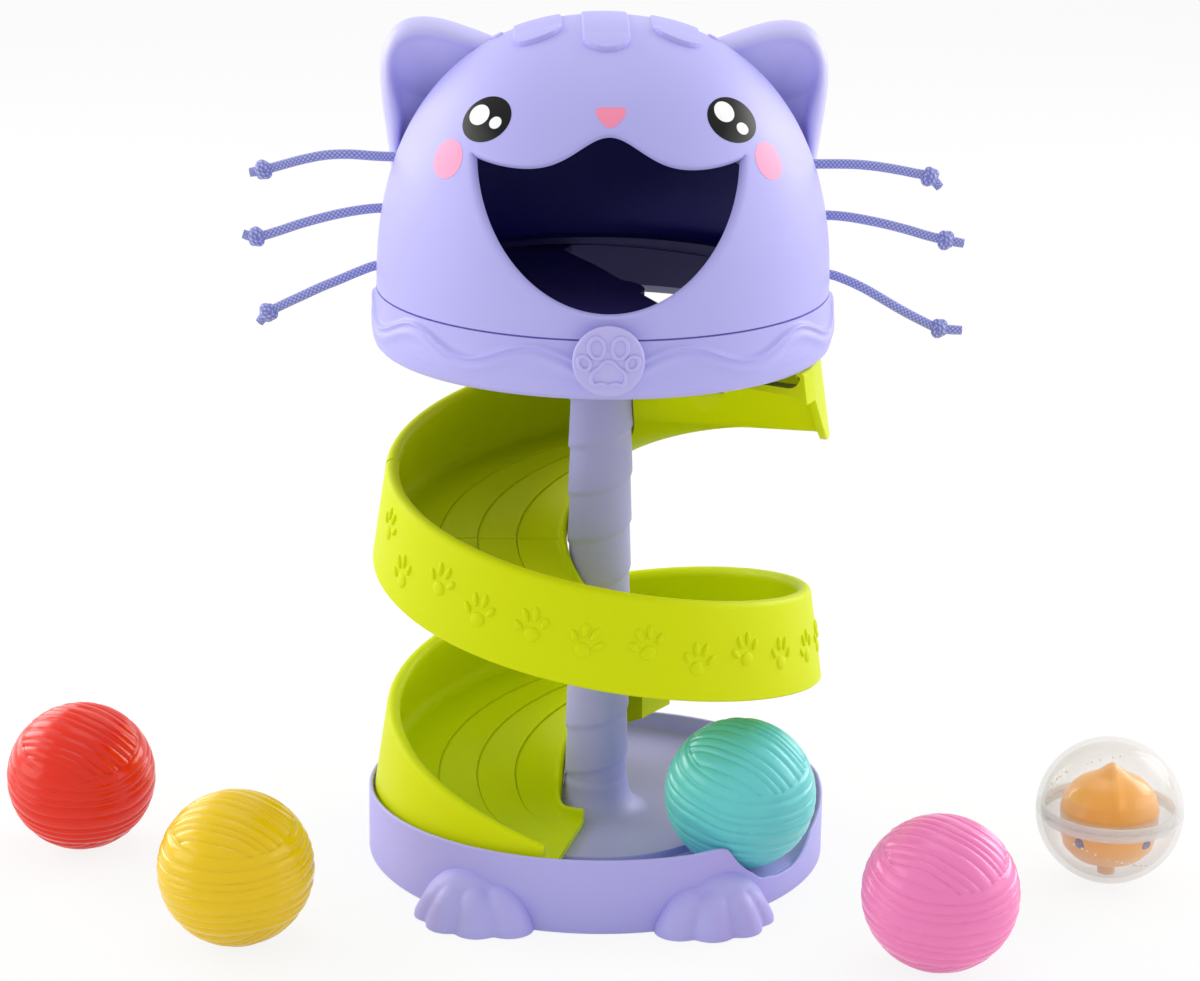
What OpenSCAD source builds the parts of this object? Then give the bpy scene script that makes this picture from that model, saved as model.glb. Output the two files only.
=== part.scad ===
/* [Base tray] */
// Outer radius of the tray wall
tray_r = 89.2; // [84:0.2:100]
// Thickness of the tray wall
tray_wall = 1.6; // [1.4:0.1:2.4]
// Height of the tray rim at the middle of its slope
tray_h = 25.7; // [24:0.1:32]
// How much higher the front rim is than the back rim
rim_rise = 7.4; // [0:0.2:10]
// Thickness of the tray floor
tray_floor = 2.4; // [2:0.1:3.2]
// Height of the gutter floor under the tower axis
gutter_z = 12.6; // [12:0.1:13.4]
// How far the gutter falls from one side to the other, towards the exit
gutter_fall = 5; // [3:0.5:7]
// Compass direction in which the gutter falls, seen from above
exit_turn = -33; // [-40:1:-25]
// Compass direction in which a ball rolls out through the exit
path_turn = -15; // [-20:1:-10]
// Width of a front paw
paw_w = 46; // [40:1:52]
// Reach of the toes in front of the tower axis
paw_reach = 95.5; // [94:0.5:100]
// Height of the top of a paw
paw_h = 21; // [18:0.5:24]
// Distance from the tower axis to the middle of a paw, sideways
paw_x = 45; // [40:1:48]

/* [Post] */
// Outer radius of the post
post_r = 12.4; // [11:0.1:13]
// Wall of the post
post_wall = 2.4; // [2:0.1:3]
// Radius of the round foot plate
foot_r = 51.5; // [46:0.5:56]
// Height of the top of the foot plate
foot_top = 14.6; // [14:0.2:15.4]
// Radius of the curve between foot plate and post
foot_curve = 9; // [6:0.5:12]

/* [Spiral track] */
// How far the start of the track lies below the seam of the head
start_drop = 50; // [48:0.5:52]
// Room between the tray wall and the track that turns inside it
track_gap = 0.5; // [0.4:0.1:1]
// Lean of the wall, bottom to top
wall_lean = 4.9; // [3:0.1:6]
// Height of the wall top above the track floor
wall_h = 31.5; // [28:0.5:33]
// Thickness of the wall low down
wall_t = 2.8; // [2.2:0.1:3.4]
// Thickness of the rolled wall top
rim_t = 5.4; // [4:0.1:6]
// Thickness of the track floor
floor_t = 2.6; // [2:0.1:3]
// Depth of the skirt below the track floor
skirt_h = 5.5; // [4.5:0.1:6]
// Height of the low lip beside the post
lip_h = 4; // [3:0.2:6]
// Radius of the innermost of the three floor ridges
ridge_r = 32; // [30:0.5:34]
// Distance from one floor ridge to the next
ridge_pitch = 15; // [13:0.5:16]
// Height of a floor ridge
ridge_h = 0.8; // [0.4:0.1:1.2]
// Width of the snap tongue at a joint of the track
tongue_w = 16; // [12:1:18]

/* [Head] */
// How far the head stays inside the outer radius of the track
head_inset = 2.1; // [1:0.1:4]
// Height of the seam between dome and collar
seam_z = 226; // [224:0.5:230]
// Height of the dome above the seam
dome_h = 100.5; // [97:0.5:104]
// Wall of the dome
dome_wall = 2.8; // [2.2:0.1:3.2]
// Height of the collar below the seam
collar_h = 22; // [20:0.5:24]
// Bulge of the collar beyond the seam
collar_bulge = 2; // [1:0.1:3]
// Turn of the head to its left
head_turn = 1.5; // [0:0.5:3]
// How far a corner of the mouth stays inside the side of the head
mouth_margin = 36; // [34:0.5:40]
// Height of the corners of the mouth above the seam
mouth_top_h = 59.5; // [57:0.5:62]
// Height of the lowest point of the mouth above the seam
mouth_low_h = 7.5; // [7:0.5:14]
// Rise of the mouth's top edge at the middle
mouth_rise = 9; // [6:0.5:11]
// Radius of the round tag
tag_r = 12.8; // [11:0.2:14]
// Thickness of the round tag
tag_t = 3; // [2.4:0.1:4]
// How far the middle of the tag lies below the seam
tag_drop = 6.5; // [4:0.5:8]
// Height of the ear tips above the seam
ear_tip_h = 98.5; // [94:0.5:102]
// How far the outer edge of an ear stays inside the side of the head
ear_inset = 3.5; // [1:0.5:7]
// Depth of an ear, front to back
ear_d = 20; // [16:1:24]
// Height of the raised stripes
stripe_h = 1.7; // [1:0.1:2.2]

/* [Whiskers] */
// Diameter of the whisker cord
cord_d = 3.6; // [3:0.1:4]
// Diameter of the outer knots
knot_d = 7.6; // [6.5:0.2:9]

/* [Balls] */
// Diameter of the four yarn balls
ball_d = 57.6; // [56:0.2:58.4]
// Wall of a yarn ball
ball_wall = 2; // [1.6:0.1:2.6]
// Depth of the yarn grooves
yarn_h = 0.7; // [0.4:0.1:1]
// Diameter of the clear ball
clear_d = 56.6; // [55:0.2:58]
// Wall of the clear ball
clear_wall = 2; // [1.6:0.1:2.6]

/* [Hidden] */
$fn = 72;
lavender = "#b3aef0";
lime = "#c9d900";
cord_blue = "#9aa0dc";
steel = "#b8bcc2";
// Overrun of every cut past the face that it opens
eps = 0.5;
// Running gap between pieces that fit together
gap = 0.3;
// Far larger than the toy, for half spaces
far = 400;

function polar(r, a) = [r * cos(a), r * sin(a)];
function arc(r, a0, a1, steps, c = [0, 0]) = [for (i = [0:steps]) c + polar(r, a0 + (a1 - a0) * i / steps)];

// The gutter floor is a plane that falls towards the exit; the rim is a plane that rises to the front
fall_angle = atan(gutter_fall / (2 * tray_r));
rim_angle = atan(rim_rise / (2 * tray_r));
basin_r = tray_r - tray_wall;
track_r = basin_r - track_gap;
head_r = track_r - head_inset;
hub_r = foot_r + gap;
hub_t = 2.6;
foot_plate = 2.8;
hub_top = foot_top - foot_plate;
screw_r = 1.5;
screw_head_r = 3;
screw_head_h = 2;
base_screw_ring = 30;
pad_r = 14;

// Everything below a plane through height z that falls by angle a towards the compass turn t
module below_plane(z, a, t) {
    translate([0, 0, z]) rotate([0, 0, t]) rotate([0, a, 0]) translate([-far, -far, -far])
        cube([2 * far, 2 * far, far]);
}

// Everything under the sloping rim
module under_rim(z) {
    below_plane(z, rim_angle, 90);
}

// Toes of a paw, from the inner one to the outer one, as shares of the paw width: [sideways, back, radius]
toe_shares = [[-0.29, 0.23, 0.213], [-0.03, 0.2, 0.202], [0.2, 0.29, 0.191], [0.33, 0.485, 0.165]];
toe_lift_share = 0.6;
mound_share = 0.48;
module paw() {
    intersection() {
        union() {
            translate([0, paw_w * 0.53 - paw_reach, 0]) sphere(r = paw_w * mound_share);
            for (t = toe_shares) translate([t[0] * paw_w, t[1] * paw_w - paw_reach, 0]) {
                cylinder(r = t[2] * paw_w, h = t[2] * paw_w * toe_lift_share);
                translate([0, 0, t[2] * paw_w * toe_lift_share]) sphere(r = t[2] * paw_w);
            }
        }
        translate([-far / 2, -far, 0]) cube([far, far, paw_h]);
    }
}

// Height of the gutter floor at a place
function gutter_at(p) = gutter_z - tan(fall_angle) * (p[0] * cos(exit_turn) + p[1] * sin(exit_turn));

// The notch in the wall: the path of a ball that rolls out, and the long slope of the rim beside it
teal_spot = [54.8, -46.4];
teal_z = gutter_at(teal_spot) + ball_d / 2 + gap;
path_room = 1;
slope_shares = [[-0.06, 0.43], [0.62, 1]];
module exit_notch() {
    difference() {
        translate(teal_spot) rotate([0, 0, path_turn]) translate([-ball_d / 6, 0, 0]) rotate([90, 0, 90])
            linear_extrude(height = tray_r) {
                translate([0, teal_z]) circle(r = ball_d / 2 + path_room);
                polygon([[slope_shares[0][0] * tray_r, slope_shares[0][1] * tray_h],
                    [slope_shares[1][0] * tray_r, slope_shares[1][1] * tray_h],
                    [slope_shares[1][0] * tray_r, 2 * tray_h], [slope_shares[0][0] * tray_r, 2 * tray_h]]);
            }
        below_plane(gutter_z, fall_angle, exit_turn);
    }
}

module base_tray() color(lavender) {
    difference() {
        union() {
            difference() {
                intersection() {
                    cylinder(r = tray_r, h = tray_h + rim_rise);
                    under_rim(tray_h);
                }
                difference() {
                    cylinder(r = basin_r, h = far);
                    below_plane(gutter_z, fall_angle, exit_turn);
                }
            }
            cylinder(r = hub_r + hub_t, h = hub_top);
            difference() {
                union() {
                    mirror([1, 0, 0]) translate([paw_x, 0, 0]) paw();
                    translate([paw_x, 0, 0]) paw();
                }
                translate([0, 0, -eps]) cylinder(r = tray_r - tray_wall / 2, h = far);
            }
        }
        exit_notch();
        underside();
        translate([0, 0, hub_top]) cylinder(r = hub_r, h = tray_h);
        for (a = [90:120:330]) rotate([0, 0, a]) translate([base_screw_ring, 0, 0]) {
            translate([0, 0, -eps]) cylinder(r = screw_r + gap, h = far / 8);
        }
    }
    centre_pad();
}

// Hollow under the gutter and under the hub, open at the ground
module underside() {
    difference() {
        translate([0, 0, -eps]) cylinder(r = basin_r - tray_wall, h = far);
        below_plane_cap();
        translate([0, 0, -2 * eps]) cylinder(r = hub_r + hub_t, h = far / 8);
    }
    translate([0, 0, -eps]) cylinder(r = hub_r, h = hub_top - hub_t + eps);
}

// All the room above the underside of the gutter floor
module below_plane_cap() {
    difference() {
        translate([0, 0, -2 * eps]) cylinder(r = tray_r, h = far);
        below_plane(gutter_z - tray_floor, fall_angle, exit_turn);
    }
}

// Round pad that stands on the ground under the post, joined to the hub
module centre_pad() {
    cylinder(r = pad_r, h = hub_top - hub_t);
}

// Outline of the post, its foot curve and its foot plate
post_drop = 4.2;
post_top = seam_z - post_drop;
foot_rise_share = 1.4;
module post() color(lavender) difference() {
    rotate_extrude()
        polygon(concat([[post_r - post_wall, hub_top], [foot_r, hub_top], [foot_r, foot_top - foot_plate / 3],
            [foot_r - foot_plate / 3, foot_top]],
            [for (i = [0:8]) [post_r + foot_curve - foot_curve * sin(i * 90 / 8),
                foot_top + foot_curve * foot_rise_share * (1 - cos(i * 90 / 8))]],
            [[post_r, post_top], [post_r - post_wall, post_top]]));
    for (a = [90:120:330]) rotate([0, 0, a]) translate([base_screw_ring, 0, hub_top - eps])
        cylinder(r = screw_r, h = foot_plate * 0.7 + eps);
}

module base_screws() color(steel) for (a = [90:120:330]) rotate([0, 0, a])
    translate([base_screw_ring, 0, 0]) {
        translate([0, 0, hub_top - hub_t - screw_head_h]) cylinder(r = screw_head_r, h = screw_head_h);
        translate([0, 0, hub_top - hub_t - eps]) cylinder(r = screw_r - gap / 3,
            h = hub_t + eps + foot_plate * 0.6);
    }

// Heights along the track: a is the angle turned, from the start at the right towards the back
start_a = -9;
upper_end = 180;
middle_end = 442;
track_end = 617;
track_step = 7;
// Angle at which the even slope would meet the level end of the track
land_a = 579.2;
settle = 36;
settle_a = land_a - settle / 2;
end_floor = foot_top + floor_t + gap;
slope = (seam_z - start_drop - end_floor) / (land_a - start_a);
wall_cap = seam_z - collar_h - gap;
function helix(a) = end_floor + slope * (land_a - a);
// The first run curls up into a scoop that stops a ball that drops from the head
scoop_a = 16;
scoop_rise = 21;
scoop_power_share = 1.7;
scoop_end = start_a - scoop_a;
function floor_z(a) = a < scoop_end ? helix(start_a) + scoop_rise
    : a < start_a ? helix(start_a) + scoop_rise * pow((start_a - a) / scoop_a, scoop_power_share)
    : a < settle_a ? helix(a)
    : a < settle_a + settle ? helix(a) + slope * pow(a - settle_a, 2) / (2 * settle) : end_floor;
// The wall runs down a little faster over the last quarter turn
end_drop = 7;
drop_a = 85;
function wall_top(a) = min(wall_cap, helix(a) + wall_h
    - (a > track_end - drop_a ? end_drop * pow((a - track_end + drop_a) / drop_a, 2) : 0));
function skirt_z(a) = max(floor_z(a) - skirt_h, min(floor_z(a) - floor_t - 2 * gap, gutter_skirt(a)));
function gutter_skirt(a) = gutter_z + gap + floor_t - track_r * tan(fall_angle) * cos(a - exit_turn);

// The bore of the track widens where it comes down over the curve of the foot
function foot_side(c) = post_r + foot_curve * (1 - sqrt(1 - c * c));
function inner_r(a) = gap + foot_side(max(0, min(1,
    1 - (floor_z(a) - floor_t - foot_top) / (foot_curve * foot_rise_share))));
lip_t = 2.2;
fillet = 4;
ridge_w = 1.1;

// Cross-section of the track at angle a, as [radius, height] points
function track_section(a) = let (f = floor_z(a), t = wall_top(a), i = inner_r(a), b = skirt_z(a),
    lean = wall_lean * (t - b) / (wall_h + skirt_h), top_r = track_r - lean,
    rim = min(rim_t, wall_t + (t - f) / wall_h * (rim_t - wall_t)), w = track_r - wall_t) [
    [i, f - floor_t], [i, f + lip_h], [i + lip_t / 2, f + lip_h], [i + lip_t + lip_h / 3, f],
    each [for (k = [0:2]) for (q = [-1:1])
        [ridge_r + k * ridge_pitch + q * ridge_w, f + (q == 0 ? ridge_h : 0)]],
    [w - fillet, f], [w - fillet * 0.3, f + fillet * 0.3], [w - wall_lean * 0.1, f + fillet],
    [top_r - rim, t - rim * 0.5], [top_r - rim * 0.75, t - rim * 0.1], [top_r - rim * 0.5, t],
    [top_r - rim * 0.25, t - rim * 0.08], [top_r, t - rim * 0.45], [track_r, b], [w, b],
    [w, f - floor_t]];

// Solid swept through rings of points; cap lists the convex parts that fill the section at both ends
module sweep(rings, cap) {
    n = len(rings[0]);
    m = len(rings);
    polyhedron(points = [for (r = rings) for (p = r) p],
        faces = concat(cap,
            [for (i = [0:m - 2]) for (j = [0:n - 1]) for (h = [0, 1]) h == 0
                ? [i * n + j, (i + 1) * n + j, i * n + (j + 1) % n]
                : [i * n + (j + 1) % n, (i + 1) * n + j, (i + 1) * n + (j + 1) % n]],
            [for (part = cap) [for (k = [len(part) - 1:-1:0]) (m - 1) * n + part[k]]]));
}
// Parts of the track's section: lip, slab, three ridges, corner, foot of the wall, wall, rim
track_cap = [[0, 1, 2, 3], [0, 3, 4, 6, 7, 9, 10, 12, 13, 23], [4, 5, 6], [7, 8, 9], [10, 11, 12],
    [23, 13, 14, 15], [21, 22, 23, 15], [21, 15, 16, 20], [16, 17, 18, 19, 20]];
trough_cap = [[0, 1, 2, 3], [0, 3, 4, 7], [4, 5, 6, 7]];
bar_cap = [[0, 1, 2, 3]];
function ring_at(section, a) = [for (p = section) [p[0] * cos(a), p[0] * sin(a), p[1]]];

function run_rings(a0, a1) = let (steps = ceil((a1 - a0) / track_step))
    [for (i = [0:steps]) let (a = a0 + (a1 - a0) * i / steps) ring_at(track_section(a), a)];
module track_run(a0, a1) {
    sweep(run_rings(a0, a1), track_cap);
}

// Solid that follows the spiral; each row is [angle, inner radius, outer radius, upper depth, lower depth]
module spiral_bar(rows) {
    sweep([for (q = rows) let (f = floor_z(q[0]))
        ring_at([[q[1], f - q[4]], [q[1], f - q[3]], [q[2], f - q[3]], [q[2], f - q[4]]], q[0])], bar_cap);
}

// Snap joint: a tongue of the lower segment slides into a housing under the upper one
tongue_r = 34;
tongue_a = 11;
tongue_t = 2;
tongue_hold = 3;
joint_cut = 0.4;
housing_t = 1.8;
housing_a = 15;
tongue_top = floor_t + gap;
tongue_low = tongue_top + tongue_t;
root_depth_share = 0.45;
module tongue(a) {
    r0 = tongue_r;
    r1 = tongue_r + tongue_w;
    root = floor_t * root_depth_share;
    spiral_bar([[a - tongue_a, r0, r1, tongue_top, tongue_low],
        [a - tongue_a / 2, r0, r1, tongue_top, tongue_low],
        [a + 3 * joint_cut, r0, r1, tongue_top, tongue_low],
        [a + 6 * joint_cut, r0, r1, root, tongue_low], [a + 2 * tongue_hold, r0, r1, root, tongue_low]]);
}

// The housing is a trough that hangs under the floor, open at the joint
module housing(a) {
    r0 = tongue_r - gap;
    r1 = tongue_r + tongue_w + gap;
    low = tongue_low + gap;
    root = floor_t * root_depth_share;
    end = a - joint_cut;
    sweep([for (b = [end - housing_a, end - housing_a * 2 / 3, end - housing_a / 3, end])
        let (f = floor_z(b)) ring_at([[r0 - housing_t, f - low - housing_t], [r0 - housing_t, f - root],
            [r0, f - root], [r0, f - low], [r1, f - low], [r1, f - root], [r1 + housing_t, f - root],
            [r1 + housing_t, f - low - housing_t]], b)], trough_cap);
}

module lower_track() color(lime) {
    track_run(middle_end + joint_cut, track_end);
    tongue(middle_end);
}

module middle_track() color(lime) {
    track_run(upper_end + joint_cut, middle_end);
    tongue(upper_end);
    housing(middle_end);
}

// Ledge in front of the scoop, seen from above, with the slot that takes the tab of the hopper, and a hook
scoop_flat = 5;
ledge_z = floor_z(scoop_end) - floor_t * 0.85;
ledge_t = 1.8;
ledge_x = 14.6;
ledge_w = 30;
ledge_y = -46;
slot_x = 18;
slot_w = 15;
slot_t = 2.4;
slot_y = -39;
hook_shares = [[0, 0.5], [0.25, -1.6], [0.5, -3], [0.8, -1.9], [0.95, 0.5]];
hook_t = 4;
module ledge() {
    join_a = scoop_end - scoop_flat / 2;
    difference() {
        translate([0, 0, ledge_z]) linear_extrude(height = ledge_t)
            polygon([[ledge_x, ledge_y], [ledge_x + ledge_w, ledge_y],
                [ledge_x + ledge_w, (ledge_x + ledge_w) * tan(join_a)], [ledge_x, ledge_x * tan(join_a)]]);
        translate([slot_x, slot_y - slot_t / 2, ledge_z - eps]) cube([slot_w, slot_t, ledge_t + 2 * eps]);
    }
    translate([ledge_x + ledge_w * 0.55, ledge_y + hook_t * 1.2, ledge_z]) rotate([90, 0, 0])
        linear_extrude(height = hook_t)
            polygon([for (h = hook_shares) [h[0] * ledge_w * 0.45, h[1] * ledge_t]]);
}

module upper_track() color(lime) {
    scoop_steps = 6;
    sweep(concat([ring_at(track_section(scoop_end - scoop_flat), scoop_end - scoop_flat)],
        [for (i = [0:scoop_steps - 1]) let (a = start_a - scoop_a * (1 - i / scoop_steps))
            ring_at(track_section(a), a)], run_rings(start_a, upper_end)), track_cap);
    ledge();
    housing(upper_end);
}

// Head: the half outline of the dome, as [radius, height] points
dome_power_share = 0.87;
function dome_side(r, h, steps) = [for (i = [0:steps]) let (t = 90 * i / steps)
    [i == steps ? 0 : r * pow(cos(t), dome_power_share), h * pow(sin(t), dome_power_share)]];
module dome_solid(grow) {
    rotate_extrude() polygon(concat([[0, 0]], dome_side(head_r + grow, dome_h + grow, 22)));
}

// Mouth outline: half an ellipse below and a soft three-part wave above
mouth_w = 2 * (head_r - mouth_margin);
mouth_top = seam_z + mouth_top_h;
mouth_d = mouth_top_h - mouth_low_h;
wave_width_share = 0.17;
mouth_dip = 2.4;
function mouth_wave(x) = (mouth_rise + mouth_dip) * exp(-pow(x / wave_width_share, 2))
    - mouth_dip * (1 - pow(abs(2 * x), 6));
mouth_outline = concat(
    [for (i = [0:24]) [mouth_w / 2 * cos(180 * i / 24), -mouth_d * sin(180 * i / 24)]],
    [for (i = [1:17]) let (x = -0.5 + i / 18) [mouth_w * x, mouth_wave(x)]]);

// An ear: a rounded triangle, scooped out from the front
ear_x = head_r - ear_inset;
ear_tip_z = seam_z + ear_tip_h;
ear_root_h = 44;
ear_z0 = seam_z + ear_root_h;
ear_edge = 6;
module ear_body(inset, shift) {
    r = ear_edge - inset;
    hull() {
        translate([ear_x - ear_edge * 1.33, shift, ear_z0]) sphere(r = r, $fn = 20);
        translate([ear_x - ear_edge, shift, ear_tip_z - 2.4 * ear_edge]) sphere(r = r, $fn = 20);
        translate([ear_x - 2.4 * ear_edge, shift, ear_tip_z - 1.4 * ear_edge + inset / 3])
            sphere(r = r * 1.4, $fn = 20);
        translate([ear_x - 6.4 * ear_edge, shift, ear_tip_z - 2.2 * ear_edge]) sphere(r = r, $fn = 20);
        translate([ear_x - 4 * ear_edge, shift + ear_d / 2, ear_z0]) sphere(r = r, $fn = 20);
    }
}
module ear() {
    difference() {
        ear_body(0, ear_d * 0.8);
        ear_body(ear_edge * 0.45, ear_d * 0.8 - ear_edge);
    }
}

// Raised stripes over the top of the head, seen from above: a long one, two beside it, two short outer ones
stripe_w = head_r * 0.212;
side_stripe_x = head_r * 0.296;
outer_stripe_x = head_r * 0.482;
module stripe(x, w, y0, y1) {
    nose = [for (i = [0:12]) [x - w / 2 * cos(15 * i), y0 + w / 2 * (1 - sin(15 * i))]];
    polygon(concat([[x + w / 2, y1], [x - w / 2, y1]], nose));
}
module stripes() intersection() {
    translate([0, 0, seam_z]) dome_solid(stripe_h);
    translate([0, 0, seam_z + dome_h / 2]) linear_extrude(height = dome_h) {
        stripe(0, stripe_w, -0.49 * head_r, 0.5 * head_r);
        for (s = [-1, 1]) {
            stripe(s * side_stripe_x, stripe_w * 0.95, -0.3 * head_r, 0.4 * head_r);
            stripe(s * outer_stripe_x, stripe_w / 2, 0, 0.3 * head_r);
        }
    }
}

// Screw bosses inside the head, and the places of their screws
boss_turns = [140, 200, 250, 308];
boss_inset = 10;
boss_ring = head_r - boss_inset;
boss_r = 3.4;
boss_h = 12;
flange_rise = 2;
flange_top = seam_z + flange_rise;

// Whisker holes: their heights above the seam on each side
cord_hole = cord_d + 3 * gap;
left_exits = [47.5, 28, 6];
right_exits = [47, 27.6, 5];

module head_shell() color(lavender) difference() {
    union() {
        rotate([0, 0, head_turn]) difference() {
            union() {
                translate([0, 0, seam_z]) dome_solid(0);
                stripes();
                mirror([1, 0, 0]) ear();
                ear();
            }
            translate([0, 0, seam_z]) dome_cavity();
            translate([0, 0, mouth_top]) rotate([90, 0, 0]) linear_extrude(height = head_r + eps)
                polygon(mouth_outline);
        }
        bosses();
    }
    for (h = left_exits) translate([-head_r - eps, 0, seam_z + h]) rotate([0, 90, 0])
        cylinder(r = cord_hole / 2, h = head_r / 2);
    for (h = right_exits) translate([head_r + eps, 0, seam_z + h]) rotate([0, -90, 0])
        cylinder(r = cord_hole / 2, h = head_r / 2);
}

module dome_cavity() {
    translate([0, 0, -eps]) cylinder(r = head_r - dome_wall, h = 2 * eps);
    rotate_extrude() polygon(concat([[0, 0]], dome_side(head_r - dome_wall, dome_h - dome_wall, 22)));
}

module bosses() {
    for (a = boss_turns) rotate([0, 0, a]) difference() {
        union() {
            translate([boss_ring, 0, flange_top]) cylinder(r = boss_r, h = boss_h);
            translate([boss_ring, -dome_wall / 2, flange_top])
                cube([head_r - dome_wall / 2 - boss_ring, dome_wall, boss_h]);
        }
        translate([boss_ring, 0, flange_top - eps]) cylinder(r = screw_r, h = boss_h * 0.7);
    }
}

// Collar: a bulging ring with a ledge inside, and a raised wave round the outside
collar_ledge = 2.6;
collar_in = head_r - dome_wall;
collar_low = seam_z - collar_h;
rim_foot_rise = 4;
rim_foot_z = collar_low + rim_foot_rise;
rim_foot_t = 2.4;
ring_room = 3;
ring_out = collar_in - ring_room;
ring_wall = 2.2;
wave_n = 10;
wave_h = 3.6;
collar_foot = 0.2;
wave_t = 0.9;
module collar() color(lavender) rotate([0, 0, head_turn]) difference() {
    union() {
        rotate_extrude() polygon([[collar_in, collar_low], [head_r - collar_foot, collar_low],
            [head_r + collar_bulge * 0.6, collar_low + collar_h * 0.1],
            [head_r + collar_bulge, collar_low + collar_h * 0.3],
            [head_r + collar_bulge, collar_low + collar_h * 0.45],
            [head_r + collar_bulge * 0.5, collar_low + collar_h * 0.6],
            [head_r + collar_bulge * 0.15, collar_low + collar_h * 0.8], [head_r, seam_z],
            [collar_in, seam_z], [collar_in, rim_foot_z + rim_foot_t + gap + collar_ledge],
            [ring_out + gap, rim_foot_z + rim_foot_t + gap + collar_ledge],
            [ring_out + gap, rim_foot_z + rim_foot_t + gap], [collar_in, rim_foot_z + rim_foot_t + gap]]);
        collar_wave();
    }
    tag_stem(gap);
}

// The wave rises and falls ten times round the collar, lowest at the front
module collar_wave() {
    mid = collar_low + collar_h * 0.69;
    steps = 90;
    inner = head_r - dome_wall / 2;
    outer = head_r + collar_bulge + wave_t;
    sweep_ring([for (i = [0:steps - 1]) let (a = 360 * i / steps, z = mid - wave_h * cos(wave_n * (a + 90)))
        ring_at([[inner, z], [outer - wave_t / 2, z], [outer, z - wave_t],
            [outer - wave_t, collar_low + collar_h * 0.2], [inner, collar_low + collar_h * 0.2]], a)]);
}

// Closed ring swept through rings of points
module sweep_ring(rings) {
    n = len(rings[0]);
    m = len(rings);
    polyhedron(points = [for (r = rings) for (p = r) p],
        faces = [for (i = [0:m - 1]) for (j = [0:n - 1]) for (h = [0, 1]) h == 0
            ? [i * n + j, ((i + 1) % m) * n + j, i * n + (j + 1) % n]
            : [i * n + (j + 1) % n, ((i + 1) % m) * n + j, ((i + 1) % m) * n + (j + 1) % n]]);
}

// Round tag on the front of the collar, with a paw print and a stem through the collar
tag_y = head_r + collar_bulge + wave_t + gap;
tag_z = seam_z - tag_drop;
stem_r = 2.6;
stem_drop = 4;
paw_print_h = 0.7;
module tag_stem(clear) {
    translate([0, -tag_y, tag_z - stem_drop]) rotate([-90, 0, 0])
        cylinder(r = stem_r + clear, h = tag_y - collar_in + dome_wall);
}
module collar_tag() color(lavender) rotate([0, 0, head_turn]) {
    translate([0, -tag_y, tag_z]) rotate([90, 0, 0]) {
        rotate_extrude() polygon([[0, 0], [tag_r - tag_t * 0.2, 0], [tag_r, tag_t * 0.4],
            [tag_r, tag_t * 0.7], [tag_r - tag_t * 0.4, tag_t], [0, tag_t]]);
        translate([0, 0, tag_t - eps]) print_pads(tag_r, paw_print_h + eps);
    }
    tag_stem(0);
}

// Paw print: four toe pads over one main pad, scaled to radius r
module print_pads(r, h) {
    for (s = [-1, 1]) {
        translate([s * r * 0.28, r * 0.42, 0]) cylinder(r = r * 0.19, h = h);
        translate([s * r * 0.62, r * 0.02, 0]) cylinder(r = r * 0.15, h = h);
        translate([s * r * 0.2, -r * 0.5, 0]) cylinder(r = r * 0.2, h = h);
    }
    translate([0, -r * 0.22, 0]) cylinder(r = r * 0.24, h = h);
    translate([-r * 0.2, -r * 0.7, 0]) cube([r * 0.4, r * 0.4, h]);
}

// Hopper: a ring inside the collar, a sloping floor with a drop hole, a socket and a track tab
hopper_sink = 1.1;
hopper_z = seam_z - hopper_sink;
hopper_fall = 6;
hopper_turn = 25;
hopper_floor = 2.4;
hole_a0 = -48;
hole_a1 = 104;
hole_lip = 3.4;
hole_in = post_r + hole_lip;
flange_w = 7;
flange_in = ring_out - flange_w;
hole_rim = 0.6;
hole_out = ring_out - ring_wall - hole_rim;
socket_wall = 2.4;
socket_len = 12;
module drop_hole() {
    corner = 9;
    translate([0, 0, seam_z - collar_h]) linear_extrude(height = 2 * collar_h)
        polygon(concat(arc(hole_out, hole_a0 + corner, hole_a1 - corner / 2, 20),
            arc(hole_out - corner, hole_a1 - 1, hole_a1, 1), [polar(hole_out / 2, hole_a1 - 10)],
            arc(hole_in, hole_a1 - 40, hole_a0 + 20, 6), [polar(hole_out / 2, hole_a0 - 4)],
            arc(hole_out - corner, hole_a0, hole_a0 + 1, 1)));
}
module hopper_floor_slab() {
    intersection() {
        translate([0, 0, hopper_z]) rotate([0, 0, hopper_turn])
            rotate([0, atan(hopper_fall / (2 * ring_out)), 0])
            translate([0, 0, -hopper_floor]) cylinder(r = head_r, h = hopper_floor);
        translate([0, 0, rim_foot_z]) cylinder(r = ring_out - ring_wall / 2, h = collar_h * 2);
    }
}
module hopper() color(lavender) difference() {
    union() {
        rotate_extrude() polygon([[ring_out - ring_wall, rim_foot_z], [collar_in - gap, rim_foot_z],
            [collar_in - gap, rim_foot_z + rim_foot_t], [ring_out, rim_foot_z + rim_foot_t],
            [ring_out, flange_top], [flange_in, flange_top], [flange_in, flange_top - hopper_floor],
            [ring_out - ring_wall, flange_top - hopper_floor]]);
        difference() {
            hopper_floor_slab();
            drop_hole();
        }
        rotate_extrude() translate([post_r + gap, post_top - socket_len])
            square([socket_wall, hopper_z - hopper_floor / 2 - post_top + socket_len]);
        hopper_tab();
    }
    for (a = boss_turns) rotate([0, 0, a]) translate([boss_ring, 0, flange_top - hopper_floor]) {
        translate([0, 0, -eps]) cylinder(r = screw_r + gap, h = 2 * hopper_floor + eps);
        translate([0, 0, -hopper_floor * 2]) cylinder(r = small_head_r + gap, h = hopper_floor * 2);
    }
}
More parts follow.
